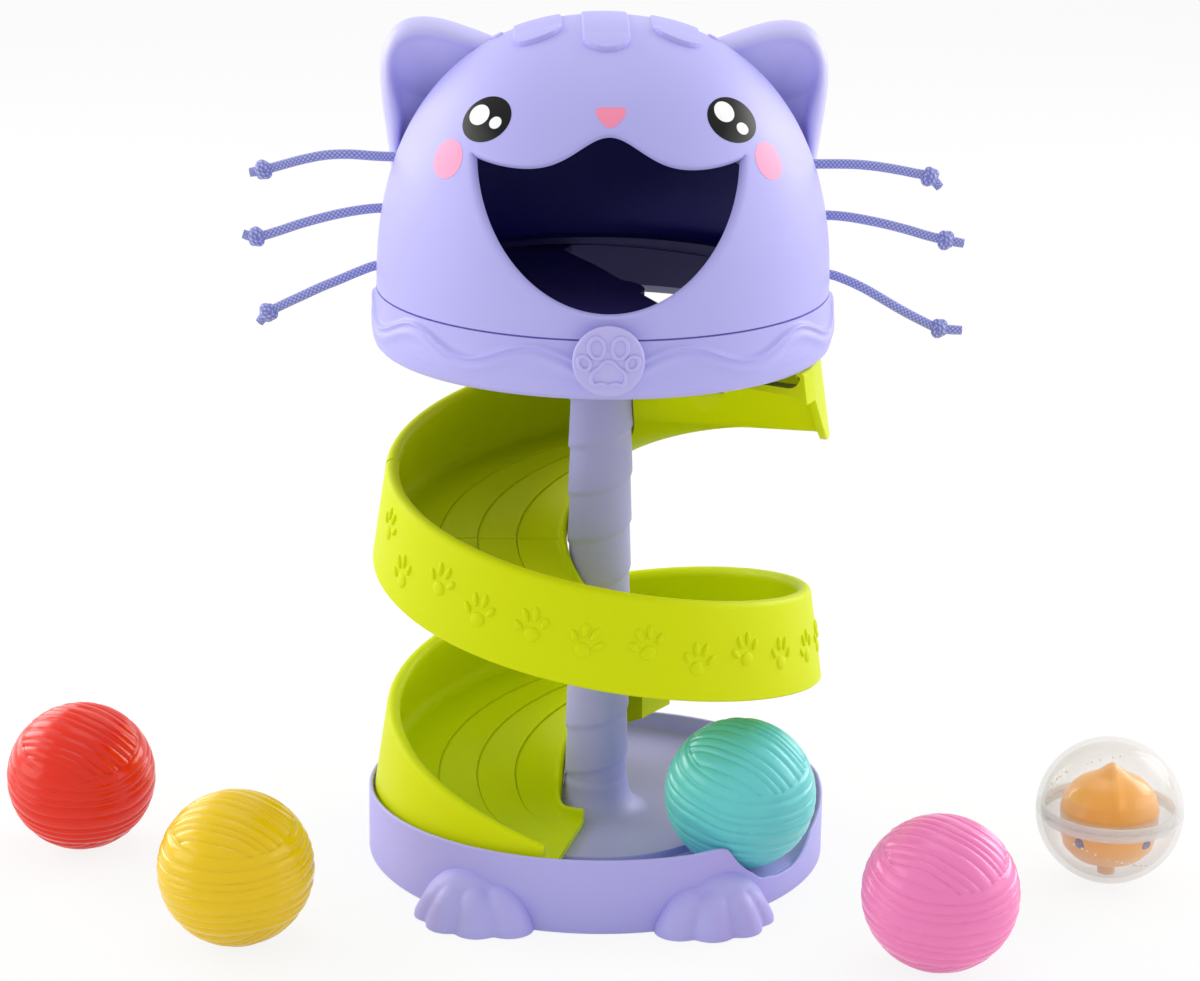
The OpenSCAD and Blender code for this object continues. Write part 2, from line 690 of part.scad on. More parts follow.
module hopper_tab() {
    translate([slot_x + gap, slot_y - slot_t / 2 + gap, ledge_z - gap])
        cube([slot_w - 2 * gap, slot_t - 2 * gap, hopper_z - hopper_floor - ledge_z + gap + eps]);
}

head_screw_len = 8;
small_head_r = 2.4;
module head_screws() color(steel) for (a = boss_turns) rotate([0, 0, a])
    translate([boss_ring, 0, flange_top - hopper_floor]) {
        translate([0, 0, -screw_head_h]) cylinder(r = small_head_r, h = screw_head_h);
        translate([0, 0, -eps]) cylinder(r = screw_r - gap / 3, h = head_screw_len + eps);
    }

// Whisker: a cord with a stop knot inside the head, a knot near its end and a short tail
stop_d = 5.6;
// Points of the six whiskers, from the head outwards: [beyond the side of the head, back, above the seam]
left_top_route = [[-17, 0, 47.5], [-6, 0, 47.5], [1, -0.5, 47.8], [10, -1, 48.4], [19, -1, 47.9],
    [28, -1, 46], [35, -1, 44], [42, -1, 42], [47, -1, 41]];
left_middle_route = [[-10, 0, 28], [-2, 0, 28], [5, -0.5, 27.4], [13, -1, 26], [21, -1, 24],
    [29, -1, 21.6], [37, -1, 18.8], [45, -1, 16.5], [50, -1, 17.6]];
left_bottom_route = [[-8, 0, 6], [0, 0, 6], [7, -0.5, 3.6], [14, -1, 0.6], [21, -1, -2.4],
    [28, -1, -5.8], [35, -1, -9.2], [41, -1, -12.5], [44.5, -1, -16.4]];
right_top_route = [[-18, 0, 47], [-6, 0, 47], [2, -0.5, 47.2], [9, -1, 47.2], [16, -1, 46.6],
    [23, -1, 45.6], [30, -1, 44.3], [36, -1, 43], [40, -1, 39]];
right_middle_route = [[-11, 0, 27.6], [-1, 0, 27.6], [6, -0.5, 27.2], [13, -1, 26.2], [21, -1, 24.6],
    [29, -1, 22.6], [36, -1, 20.6], [43, -1, 19], [49.8, -1, 17.8]];
right_bottom_route = [[-8, 0, 5], [0, 0, 5], [7, -0.5, 2.8], [14, -1, -0.4], [21, -1, -4.4],
    [28, -1, -8.4], [35, -1, -12], [42, -1, -15], [50.6, -1, -15.7]];
function placed(side, route) = [for (p = route) [side * (head_r + p[0]), p[1], seam_z + p[2]]];

// Radius of the cord at each point, in steps from the stop knot to the frayed tail
function cord_radius(s, last) = s == 0 ? stop_d / 2 : s == last - 1 ? knot_d / 2
    : abs(s - last + 1) == 0.5 ? knot_d * 0.42 : cord_d / 2;
function cord_rings(route) = let (last = len(route) - 1)
    [for (i = [0:last]) for (k = [0, 1]) if (i < last || k == 0)
        [k == 0 ? route[i] : (route[i] + route[i + 1]) / 2, cord_radius(i + k / 2, last),
            route[min(last, i + 1)] - route[max(0, i - 1 + k)]]];
module whisker(side, route) color(cord_blue) {
    rings = cord_rings(placed(side, route));
    corners = [0:7];
    sweep([for (q = rings) let (d = q[2] / norm(q[2]), u = cross(d, [0, 1, 0]) / norm(cross(d, [0, 1, 0])),
        v = cross(d, u)) [for (k = corners) q[0] + q[1] * (u * cos(45 * k) + v * sin(45 * k))]],
        [[for (k = corners) k]]);
}
module whisker_left_top() whisker(-1, left_top_route);
module whisker_left_middle() whisker(-1, left_middle_route);
module whisker_left_bottom() whisker(-1, left_bottom_route);
module whisker_right_top() whisker(1, right_top_route);
module whisker_right_middle() whisker(1, right_middle_route);
module whisker_right_bottom() whisker(1, right_bottom_route);

// Yarn ball: a wound band round the middle between two caps that are wound another way
yarn_n = 24;
band_share = 0.58;
function yarn_profile() = let (r = ball_d / 2) concat([[0, -r]],
    [for (i = [1:2 * yarn_n - 1]) let (a = -90 + 180 * i / (2 * yarn_n), q = r - (i % 2 == 0 ? yarn_h : 0))
        [q * cos(a), q * sin(a)]], [[0, r]]);
module yarn_ball(place, spin, tint) color(tint) {
    r = ball_d / 2;
    cap_z = r * band_share;
    translate(place) rotate(spin) difference() {
        union() {
            intersection() {
                rotate_extrude() polygon(yarn_profile());
                translate([-r, -r, -cap_z]) cube([2 * r, 2 * r, 2 * cap_z]);
            }
            intersection() {
                rotate([62, 0, 20]) rotate_extrude() polygon(yarn_profile());
                translate([-r, -r, cap_z]) cube([2 * r, 2 * r, r]);
            }
            intersection() {
                rotate([-58, 0, -15]) rotate_extrude() polygon(yarn_profile());
                translate([-r, -r, -cap_z - r]) cube([2 * r, 2 * r, r]);
            }
        }
        sphere(r = r - ball_wall - yarn_h);
    }
}

ball_r = ball_d / 2;
red_place = [-201, -11, ball_r];
yellow_place = [-131, -98, ball_r];
pink_place = [125, -112, ball_r];
teal_place = concat(teal_spot, [teal_z]);
clear_place = [198, -30, clear_d / 2];
module red_ball() yarn_ball(red_place, [8, 4, 0], "#e0321e");
module yellow_ball() yarn_ball(yellow_place, [6, -4, 30], "#f0cc14");
module pink_ball() yarn_ball(pink_place, [10, -12, 60], "#f08cc8");
module teal_ball() yarn_ball(teal_place, [4, 10, -30], "#6fd0d0");

// Clear ball: two half shells that meet in a flanged band, with a fish inside
band_h = 4;
module clear_half(up) {
    r = clear_d / 2;
    translate(clear_place) mirror([0, 0, up ? 0 : 1]) difference() {
        union() {
            intersection() {
                sphere(r = r);
                translate([-far / 2, -far / 2, 0]) cube([far, far, far]);
            }
            cylinder(r = r, h = band_h / 2);
        }
        sphere(r = r - clear_wall);
        translate([0, 0, -eps]) cylinder(r = r - clear_wall, h = 2 * eps);
    }
}
module clear_ball_upper() color([0.9, 0.93, 0.95, 0.4]) clear_half(true);
module clear_ball_lower() color([0.9, 0.93, 0.95, 0.4]) clear_half(false);

// Fish, seen head on: a round body that rises to a pointed back fin, with eyes low on its sides and a tail
fish_w = 38;
fish_top = 20;
fish_low = 19;
eye_r = 3;
fin_t = 3;
fish_shares = [[0, -1], [0.5, -0.9], [0.78, -0.62], [0.95, -0.2], [1, 0.05], [0.94, 0.3], [0.78, 0.54],
    [0.55, 0.7], [0.34, 0.8], [0.2, 0.92], [0, 1]];
module fish() color("#f6a21c") translate(clear_place) union() {
    rotate_extrude() polygon([for (p = fish_shares)
        [p[0] * fish_w / 2, p[1] * (p[1] < 0 ? fish_low : fish_top)]]);
    for (s = [-1, 1]) translate([s * fish_w * 0.29, -fish_w * 0.36, -fish_low * 0.42]) sphere(r = eye_r);
    translate([-fin_t / 2, fish_w * 0.3, -fin_t]) cube([fin_t, fish_w * 0.3, fish_top * 0.6]);
    translate([0, 0, -sqrt(pow(clear_d / 2 - clear_wall - gap, 2) - pow(2 * fin_t, 2))])
        cylinder(r = 2 * fin_t, h = fish_top);
}

base_tray();
post();
lower_track();
middle_track();
upper_track();
hopper();
collar();
head_shell();
collar_tag();
whisker_left_top();
whisker_left_middle();
whisker_left_bottom();
whisker_right_top();
whisker_right_middle();
whisker_right_bottom();
base_screws();
head_screws();
red_ball();
yellow_ball();
teal_ball();
pink_ball();
clear_ball_upper();
clear_ball_lower();
fish();
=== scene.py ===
from math import atan2, ceil, cos, exp, hypot, pi, radians, sin, sqrt, tan

import bmesh
import bpy
from mathutils import Matrix, Vector, noise


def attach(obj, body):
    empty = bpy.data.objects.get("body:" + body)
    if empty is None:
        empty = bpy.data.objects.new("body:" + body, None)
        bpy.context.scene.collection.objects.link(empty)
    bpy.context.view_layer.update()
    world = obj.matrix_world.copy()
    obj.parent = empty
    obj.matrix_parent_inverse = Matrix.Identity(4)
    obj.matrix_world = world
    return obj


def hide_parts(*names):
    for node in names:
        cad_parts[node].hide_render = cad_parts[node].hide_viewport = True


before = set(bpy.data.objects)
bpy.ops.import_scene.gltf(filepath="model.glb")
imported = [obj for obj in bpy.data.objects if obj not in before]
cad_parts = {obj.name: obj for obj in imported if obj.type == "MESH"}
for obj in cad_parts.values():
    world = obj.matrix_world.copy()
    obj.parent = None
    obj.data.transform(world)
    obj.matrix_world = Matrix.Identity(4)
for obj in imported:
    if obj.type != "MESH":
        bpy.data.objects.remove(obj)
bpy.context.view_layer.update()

scene = bpy.context.scene
MM = 0.001
TOWER = "tower"


# Camera

LENS, FILM_WIDTH = 97.71, 36
CAMERA_AT, CAMERA_TILT, CAMERA_ROLL = (0, -1.195, 0.509), 73.05, 0.8


def make_camera():
    data = bpy.data.cameras.new("view")
    data.sensor_fit = "HORIZONTAL"
    data.sensor_width = FILM_WIDTH
    data.lens = LENS
    camera = bpy.data.objects.new("view", data)
    scene.collection.objects.link(camera)
    camera.matrix_world = (Matrix.Translation(CAMERA_AT) @ Matrix.Rotation(radians(CAMERA_TILT), 4, "X")
                           @ Matrix.Rotation(radians(CAMERA_ROLL), 4, "Z"))
    scene.camera = camera


make_camera()


# Materials

def linear(*colour):
    """An sRGB colour of 0 to 255 as linear values."""
    return tuple(((c / 255 + 0.055) / 1.055) ** 2.4 if c > 10 else c / 255 / 12.92 for c in colour) + (1,)


def feed(tree, node, inputs):
    """Link each input of a node to another node's output, or set it to a plain value."""
    for name, term in inputs.items():
        if isinstance(term, bpy.types.NodeSocket):
            tree.links.new(term, node.inputs[name])
        else:
            node.inputs[name].default_value = term


def add(tree, kind, inputs, **traits):
    """The outputs of a new node, once its traits are set and its inputs are fed."""
    node = tree.nodes.new(kind)
    for name, value in traits.items():
        setattr(node, name, value)
    feed(tree, node, inputs)
    return node.outputs


def maths(tree, operation, *terms):
    return add(tree, "ShaderNodeMath", dict(enumerate(terms)), operation=operation)["Value"]


def mixed(tree, share, a, b):
    return add(tree, "ShaderNodeMix", {"Factor": share, "A": a, "B": b}, data_type="RGBA")["Result"]


def own_uv(tree, name):
    """The two measures, X and Y, of a piece's own UV map."""
    route = add(tree, "ShaderNodeUVMap", {}, uv_map=name)
    return add(tree, "ShaderNodeSeparateXYZ", {"Vector": route["UV"]})


def ramp(tree, value, *stops):
    """The colour at a value on a ramp of (position, colour) stops."""
    node = tree.nodes.new("ShaderNodeValToRGB")
    for element, (position, colour) in zip(node.color_ramp.elements, stops):
        element.position = position
        element.color = linear(*colour)
    feed(tree, node, {"Fac": value})
    return node.outputs["Color"]


def moulded_skin_group():
    """Moulded plastic: a faint cloud in the colour, a fine grain in the height and a drift in the gloss."""
    group = bpy.data.node_groups.new("moulded_skin", "ShaderNodeTree")
    for name, kind, value in (("Colour", "NodeSocketColor", (0.8, 0.8, 0.8, 1)),
                              ("Deep Colour", "NodeSocketColor", (0.5, 0.5, 0.5, 1)),
                              ("Roughness", "NodeSocketFloat", 0.4)):
        group.interface.new_socket(name=name, in_out="INPUT", socket_type=kind).default_value = value
    for name, kind in (("Colour", "NodeSocketColor"), ("Roughness", "NodeSocketFloat"),
                       ("Height", "NodeSocketFloat")):
        group.interface.new_socket(name=name, in_out="OUTPUT", socket_type=kind)
    given = group.nodes.new("NodeGroupInput").outputs
    place = add(group, "ShaderNodeTexCoord", {})["Object"]
    cloud = add(group, "ShaderNodeTexNoise", {"Vector": place, "Scale": 22, "Detail": 3})["Fac"]
    grain = add(group, "ShaderNodeTexNoise", {"Vector": place, "Scale": 1800, "Detail": 2})["Fac"]
    drift = add(group, "ShaderNodeMapRange", {"Value": cloud, "From Min": 0.3, "From Max": 0.7,
                                              "To Min": 0.0, "To Max": 0.12})["Result"]
    add(group, "NodeGroupOutput", {"Colour": mixed(group, drift, given["Colour"], given["Deep Colour"]),
                                   "Roughness": maths(group, "ADD", drift, given["Roughness"]),
                                   "Height": grain})
    return group


MOULDED = moulded_skin_group()


def new_material(name):
    """A material with its node tree and its surface shader."""
    material = bpy.data.materials.new(name)
    material.use_nodes = True
    return material, material.node_tree, material.node_tree.nodes["Principled BSDF"]


def plastic(name, colour, deep, roughness, bump=0.04, coat=0.0, specular=0.5, metallic=0.0):
    material, tree, surface = new_material(name)
    skin = add(tree, "ShaderNodeGroup", {"Colour": linear(*colour), "Deep Colour": linear(*deep),
                                         "Roughness": roughness}, node_tree=MOULDED)
    relief = add(tree, "ShaderNodeBump", {"Height": skin["Height"], "Strength": bump, "Distance": 0.0004})
    feed(tree, surface, {"Base Color": skin["Colour"], "Roughness": skin["Roughness"],
                         "Normal": relief["Normal"], "Specular IOR Level": specular, "Metallic": metallic,
                         "Coat Weight": coat, "Coat Roughness": 0.12})
    return material


def paint_inside_shade(material):
    """Painted shade: the inner skin is coloured a deep navy that stands in for the shade inside the head;
    the piece's own UV says which faces are inside.
    """
    tree = material.node_tree
    surface = tree.nodes["Principled BSDF"]
    outer = surface.inputs["Base Color"].links[0].from_socket
    feed(tree, surface, {"Base Color": mixed(tree, own_uv(tree, "inside")["X"], outer, linear(42, 34, 160))})


def eye_print():
    """Printed black that fades to dark grey towards the lower outer corner, along the piece's own UV."""
    material, tree, surface = new_material("eye_print")
    fade = ramp(tree, own_uv(tree, "across")["Y"], (0.05, (70, 70, 66)), (0.6, (8, 8, 8)))
    feed(tree, surface, {"Base Color": fade, "Roughness": 0.3, "Specular IOR Level": 0.15})
    return material


def braid():
    """Braided cord: two sets of strands that cross, along the cord's own UV in millimetres."""
    material, tree, surface = new_material("whisker_cord")
    cord = own_uv(tree, "along")
    strands = []
    for strands_round in (6.0, -6.0):
        turn = maths(tree, "MULTIPLY", cord["X"], strands_round)
        lean = maths(tree, "MULTIPLY_ADD", cord["Y"], 0.62, turn)
        strands.append(maths(tree, "PINGPONG", lean, 0.5))
    both = maths(tree, "MULTIPLY", *strands)
    relief = add(tree, "ShaderNodeBump", {"Height": both, "Strength": 0.5, "Distance": 0.0006})
    # The colour darkens towards the grooves where the strands part: painted shade in the grooves.
    feed(tree, surface, {"Base Color": ramp(tree, both, (0.0, (112, 118, 196)), (0.17, (186, 190, 232))),
                         "Normal": relief["Normal"], "Roughness": 0.75, "Sheen Weight": 0.3})
    return material


def clear_plastic(name, colour, roughness, face_on, edge_on):
    """Thin clear plastic: nearly nothing seen face on, a pale veil towards its edges."""
    material, tree, surface = new_material(name)
    facing = add(tree, "ShaderNodeLayerWeight", {"Blend": 0.3})["Facing"]
    veil = add(tree, "ShaderNodeMapRange", {"Value": facing, "To Min": face_on, "To Max": edge_on})["Result"]
    feed(tree, surface, {"Base Color": linear(*colour), "Roughness": roughness, "Alpha": veil})
    return material


LAVENDER = plastic("lavender_plastic", (181, 177, 241), (168, 164, 233), 0.42)
# The ears' lavender is lighter than the rest: painted light on the rims, which face forward where little
# lamp light reaches.
EAR_PAINTED_LIGHT = plastic("ear_plastic_painted_light", (200, 196, 246), (188, 184, 240), 0.42)
TAG_LAVENDER = plastic("tag_plastic", (190, 184, 240), (176, 170, 232), 0.34)
HEAD = plastic("head_plastic", (181, 177, 241), (168, 164, 233), 0.42)
# Painted shade on the head's inner faces.
paint_inside_shade(HEAD)
# A dark navy for the hopper inside the head: painted shade, standing in for the little light that reaches
# it.
PAINTED_SHADE_NAVY = plastic("inner_painted_shade", (66, 58, 132), (54, 48, 118), 0.5)
LIME = plastic("lime_plastic", (212, 225, 0), (197, 211, 0), 0.4, specular=0.12)
STEEL = plastic("screw_steel", (190, 192, 198), (150, 152, 160), 0.3, metallic=1)
YARN = {name: plastic(name + "_gloss", colour, deep, 0.2, bump=0.02, coat=0.3, specular=0.2)
        for name, colour, deep in (("red", (232, 40, 6), (208, 28, 4)),
                                   ("yellow", (236, 198, 0), (222, 180, 0)),
                                   ("teal", (106, 212, 212), (90, 198, 200)),
                                   ("pink", (244, 132, 190), (236, 114, 176)))}
EYE = eye_print()
PRINT_WHITE = plastic("print_white", (250, 250, 250), (240, 240, 240), 0.35, bump=0.0)
PRINT_PINK = plastic("print_pink", (250, 158, 196), (246, 150, 188), 0.4, bump=0.0)
PRINT_NOSE = plastic("print_nose", (250, 142, 176), (246, 132, 168), 0.4, bump=0.0)
CORD = braid()
CLEAR = clear_plastic("clear_plastic", (226, 228, 228), 0.08, 0.03, 0.6)
BAND = clear_plastic("clear_band", (252, 246, 242), 0.35, 0.5, 0.7)
GLITTER = plastic("glitter", (255, 250, 235), (255, 236, 200), 0.15, bump=0.0)
FISH = plastic("fish_orange", (252, 172, 22), (238, 142, 8), 0.28, coat=0.3)
FISH_EYE = plastic("fish_eye", (108, 88, 128), (60, 44, 84), 0.2, coat=0.6)

SLOTS = {"lavender_plastic": (LAVENDER, EAR_PAINTED_LIGHT, TAG_LAVENDER, HEAD, EYE, PRINT_WHITE, PRINT_PINK,
                              PRINT_NOSE),
         "lime_plastic": (LIME,), "whisker_cord": (CORD,), "clear_plastic": (CLEAR, BAND, GLITTER),
         "fish_orange": (FISH, FISH_EYE), **{name + "_ball": (gloss,) for name, gloss in YARN.items()}}
SLOT_OF = {material.name: slot for slot, materials in SLOTS.items() for material in materials}


# Shaping helpers, all in millimetres

def lerp(a, b, t):
    return a + (b - a) * t


def clamp(value, low=0.0, high=1.0):
    return max(low, min(high, value))


def ease(t):
    t = clamp(t)
    return t * t * (3 - 2 * t)


def along(knots, x):
    """The height at x of a broken line through knots of (x, y), held past its ends."""
    if x <= knots[0][0]:
        return knots[0][1]
    for (x0, y0), (x1, y1) in zip(knots, knots[1:]):
        if x <= x1:
            return lerp(y0, y1, (x - x0) / (x1 - x0))
    return knots[-1][1]


def polar(r, a, z=0.0):
    return Vector((r * cos(radians(a)), r * sin(radians(a)), z))


def shaped_sheet(across, lengthwise, place, uv=None):
    """A grid moved to place(u, w), with u and w from 0 to 1; uv is a UV map's name and its two lengths."""
    bm = bmesh.new()
    bmesh.ops.create_grid(bm, x_segments=across, y_segments=lengthwise, size=1)
    if uv:
        layer = bm.loops.layers.uv.new(uv[0])
        for face in bm.faces:
            for loop in face.loops:
                loop[layer].uv = ((loop.vert.co.x + 1) / 2 * uv[1], (loop.vert.co.y + 1) / 2 * uv[2])
    for v in bm.verts:
        v.co = place((v.co.x + 1) / 2, (v.co.y + 1) / 2)
    return bm


def swept(rings, closed=False, uv=None):
    """A skin through rings of points; every ring has the same number of points."""
    n, m = len(rings[0]), len(rings)
    last = m if closed else m - 1
    return shaped_sheet(n, last, lambda u, w: rings[round(w * last) % m][round(u * n) % n], uv)


def lathe(points, steps, closed=True):
    """A profile of (radius, height) points spun round the tower's axis."""
    bm = bmesh.new()
    verts = [bm.verts.new((r, 0, z)) for r, z in points]
    edges = [bm.edges.new(pair) for pair in zip(verts, verts[1:] + (verts[:1] if closed else []))]
    bmesh.ops.spin(bm, geom=verts + edges, cent=(0, 0, 0), axis=(0, 0, 1), dvec=(0, 0, 0), angle=2 * pi,
                   steps=steps, use_merge=True, use_duplicate=False)
    bmesh.ops.remove_doubles(bm, verts=bm.verts, dist=0.0005)
    return bm


def close_up(bm):
    """Merge points that coincide, fill what is open and turn the faces outwards."""
    bmesh.ops.remove_doubles(bm, verts=bm.verts, dist=0.001)
    rim = [e for e in bm.edges if e.is_boundary]
    if rim:
        bmesh.ops.holes_fill(bm, edges=rim, sides=0)
    bmesh.ops.recalc_face_normals(bm, faces=bm.faces)


def join(*parts):
    """One bmesh from several, the others being freed."""
    whole = parts[0]
    for part in parts[1:]:
        mesh = bpy.data.meshes.new("part")
        part.to_mesh(mesh)
        part.free()
        whole.from_mesh(mesh)
        bpy.data.meshes.remove(mesh)
    return whole


def to_side(bm, side):
    """A shape made for the right side, mirrored where side is -1."""
    if side < 0:
        bm.transform(Matrix.Scale(-1, 4, (1, 0, 0)))
    close_up(bm)
    return bm


def piece(name, bm, material, replaces=(), body=TOWER, sharp=40, turn=Matrix.Identity(4)):
    """Scale a shape from millimetres, name it and give it its body and finish."""
    bm.transform(Matrix.Scale(MM, 4) @ turn)
    mesh = bpy.data.meshes.new(name)
    bm.to_mesh(mesh)
    bm.free()
    mesh.materials.append(material)
    mesh.shade_smooth()
    mesh.set_sharp_from_angle(angle=radians(sharp))
    made = bpy.data.objects.new(name, mesh)
    scene.collection.objects.link(made)
    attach(made, body)
    if replaces:
        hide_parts(*replaces)
    return made


def arc_points(cx, cz, r, a0, a1, steps):
    angles = [radians(lerp(a0, a1, i / steps)) for i in range(steps + 1)]
    return [(cx + r * cos(a), cz + r * sin(a)) for a in angles]


# Whiskers, the cords first

CORD_D = 3.6
KNOT_D = 7.6
STOP_D = 6.0
WHISKER_Y = [0, 0, -0.5, -1, -1, -1, -1, -1, -1]
WHISKERS = {
    "whisker_left_top": [(-68, 273.5), (-79, 273.5), (-86, 273.8), (-95, 274.4), (-104, 273.9), (-113, 272),
                         (-120, 270), (-127, 268), (-132, 267)],
    "whisker_left_middle": [(-75, 254), (-83, 254), (-90, 253.4), (-98, 252), (-106, 250), (-114, 247.6),
                            (-122, 244.8), (-130, 242.5), (-135, 243.6)],
    "whisker_left_bottom": [(-77, 232), (-85, 232), (-92, 229.6), (-99, 226.6), (-106, 223.6), (-113, 220.2),
                            (-120, 216.8), (-126, 213.5), (-129.5, 209.6)],
    "whisker_right_top": [(67, 273), (79, 273), (87, 273.2), (94, 273.2), (101, 272.6), (108, 271.6),
                          (115, 270.3), (121, 269), (125, 265)],
    "whisker_right_middle": [(74, 253.6), (84, 253.6), (91, 253.2), (98, 252.2), (106, 250.6), (114, 248.6),
                             (121, 246.6), (128, 245), (134.8, 243.8)],
    "whisker_right_bottom": [(77, 231), (85, 231), (92, 228.8), (99, 225.6), (106, 221.6), (113, 217.6),
                             (120, 214), (127, 211), (135.6, 210.3)],
}


def smooth_route(points, per=8):
    """Points of a smooth curve through the route's points."""
    pts = [Vector(p) for p in points]
    out = []
    for i in range(len(pts) - 1):
        p0, p1, p2, p3 = pts[max(i - 1, 0)], pts[i], pts[i + 1], pts[min(i + 2, len(pts) - 1)]
        for k in range(per):
            t = k / per
            out.append(0.5 * ((2 * p1) + (p2 - p0) * t + (2 * p0 - 5 * p1 + 4 * p2 - p3) * t * t
                              + (3 * p1 - p0 - 3 * p2 + p3) * t ** 3))
    out.append(pts[-1])
    return out


def tube(route, radius, sides=20, closed=False, uv="along", middle=None):
    """A tube round a route; radius(i) is its radius at each point, and middle steadies a knot's rings."""
    rings, total = [], 0.0
    side = Vector((0, 1, 0))
    n = len(route)
    for i, p in enumerate(route):
        ahead = route[(i + 1) % n] if closed or i < n - 1 else p
        behind = route[i - 1] if closed or i else p
        direction = (ahead - behind).normalized()
        side = side if middle is None else p - middle
        side = (side - direction * side.dot(direction)).normalized()
        up = direction.cross(side)
        rings.append([p + (side * cos(2 * pi * k / sides) + up * sin(2 * pi * k / sides)) * radius(i)
                      for k in range(sides)])
        if i:
            total += (p - route[i - 1]).length
    bm = swept(rings, closed=closed, uv=(uv, 1.0, max(total, 1.0)) if uv else None)
    bmesh.ops.remove_doubles(bm, verts=bm.verts, dist=0.0005)
    if not closed:
        bmesh.ops.holes_fill(bm, edges=[e for e in bm.edges if e.is_boundary], sides=0)
    bmesh.ops.recalc_face_normals(bm, faces=bm.faces)
    return bm


def overhand_knot(centre, direction, size):
    """The knot's strand follows a trefoil round the cord's own line."""
    points = 72
    d = direction.normalized()
    side = Vector((0, 1, 0)).cross(d).normalized()
    up = d.cross(side)
    route = []
    for i in range(points):
        t = 2 * pi * i / points
        ring = 1.0 + 0.42 * cos(3 * t)
        route.append(centre + (side * cos(2 * t) + up * sin(2 * t)) * ring * size * 0.215
                     + d * sin(3 * t) * size * 0.17)
    return tube(route, lambda i: size * 0.225, sides=14, closed=True, middle=centre)


def whisker(name, points):
    """A cord with a knot one stretch from its outer end and a stop knot behind the head's wall."""
    route = smooth_route(points)
    last = len(route) - 1
    knot_at = last - 8
    body = tube(route, lambda i: CORD_D / 2 * (1.0 if 3 < i < last - 2 else 0.96))
    cord = piece(name + "_cord", body, CORD, replaces=(name,))
    outer_knot = overhand_knot(route[knot_at], route[knot_at + 1] - route[knot_at - 1], KNOT_D)
    knot = piece(name + "_knot", outer_knot, CORD)
    stop = piece(name + "_stop", overhand_knot(route[3], route[4] - route[2], STOP_D), CORD)
    tuple(c * MM for c in points[0])


for name, spots in WHISKERS.items():
    whisker(name, [(x, y, z) for (x, z), y in zip(spots, WHISKER_Y)])


# The spiral track

START, SCOOP, SCOOP_RISE = -9, 16, 21
UPPER_END, MIDDLE_END, TRACK_END = 180, 442, 617
TRACK_R, WALL_LEAN, WALL_H, WALL_T, RIM_T = 87.1, 4.9, 31.5, 2.8, 5.4
FLOOR_T, SKIRT_H, LIP_H, LIP_T = 2.6, 5.5, 4.0, 2.2
RIDGE_R, RIDGE_PITCH, FILLET = 32, 15, 5
RIDGE = [(-0.6, 0), (-0.5, -0.6), (0.05, -0.6), (0.15, 0.55), (1.8, 0.1)]
GAP = 0.3
POST_R, FOOT_TOP, FOOT_CURVE = 12.4, 14.6, 9.0
FLARE_H = FOOT_CURVE * 1.4
SEAM_Z, COLLAR_H = 226.0, 22.0
COLLAR_FOOT = SEAM_Z - COLLAR_H
WALL_CAP = COLLAR_FOOT - GAP
END_FLOOR = FOOT_TOP + FLOOR_T + GAP
LAND, SETTLE = 579.2, 36
SETTLE_A = LAND - SETTLE / 2
SLOPE = (SEAM_Z - 50 - END_FLOOR) / (LAND - START)
TAPER, TAPER_DROP = 85, 7
TRACK_STEP = 2.0
GUTTER_Z, GUTTER_TILT, GUTTER_TURN, GUTTER_T = 12.6, 0.028, -33, 2.4


def helix(a):
    return END_FLOOR + SLOPE * (LAND - a)


def floor_z(a):
    if a < START - SCOOP:
        return helix(START) + SCOOP_RISE
    if a < START:
        return helix(START) + SCOOP_RISE * ((START - a) / SCOOP) ** 1.7
    if a < SETTLE_A:
        return helix(a)
    if a < SETTLE_A + SETTLE:
        return helix(a) + SLOPE * (a - SETTLE_A) ** 2 / (2 * SETTLE)
    return END_FLOOR


def wall_top(a):
    drop = TAPER_DROP * ((a - TRACK_END + TAPER) / TAPER) ** 2 if a > TRACK_END - TAPER else 0
    return min(WALL_CAP, helix(a) + WALL_H - drop)


def skirt_z(a):
    gutter = GUTTER_Z + GAP + FLOOR_T - TRACK_R * GUTTER_TILT * cos(radians(a - GUTTER_TURN))
    return max(floor_z(a) - SKIRT_H, min(floor_z(a) - FLOOR_T - 2 * GAP, gutter))


def inner_r(a):
    c = clamp(1 - (floor_z(a) - FLOOR_T - FOOT_TOP) / FLARE_H)
    return GAP + POST_R + FOOT_CURVE * (1 - sqrt(1 - c * c))


def track_section(a):
    """The track's section at an angle, as (radius, height): underside, lip, stepped floor, wall, skirt."""
    f, t, i, b = floor_z(a), wall_top(a), inner_r(a), skirt_z(a)
    top_r = TRACK_R - WALL_LEAN * (t - b) / (WALL_H + SKIRT_H)
    rim = min(RIM_T, WALL_T + (t - f) / WALL_H * (RIM_T - WALL_T))
    w = TRACK_R - WALL_T
    pts = [(i, f - FLOOR_T)]
    pts += arc_points(i + LIP_T / 2, f + LIP_H - LIP_T / 2, LIP_T / 2, 180, 10, 5)
    pts += [(i + LIP_T + 0.2, f + 1.6), (i + LIP_T + 0.8, f + 0.5), (i + LIP_T + 2.0, f)]
    for k in range(3):
        r = RIDGE_R + RIDGE_PITCH * k
        pts += [(r + out, f + up) for out, up in RIDGE]
    pts += arc_points(w - FILLET - 0.4, f + FILLET, FILLET, 270, 355, 6)
    inner_top = top_r - rim
    pts += [(lerp(w - 0.4, inner_top, k) + 0.9 * sin(pi * k), lerp(f + FILLET, t - rim * 0.75, k))
            for k in (0.25, 0.5, 0.75)]
    pts += arc_points(top_r - rim / 2, t - rim / 2, rim / 2, 205, 0, 10)
    pts += [(lerp(top_r, TRACK_R, k), lerp(t - rim / 2, b + 0.6, k)) for k in (0.35, 0.7, 1.0)]
    pts += [(TRACK_R - 0.5, b), (w, b), (w, f - FLOOR_T)]
    return pts


def ring_at(section, a):
    return [polar(r, a, z) for r, z in section]


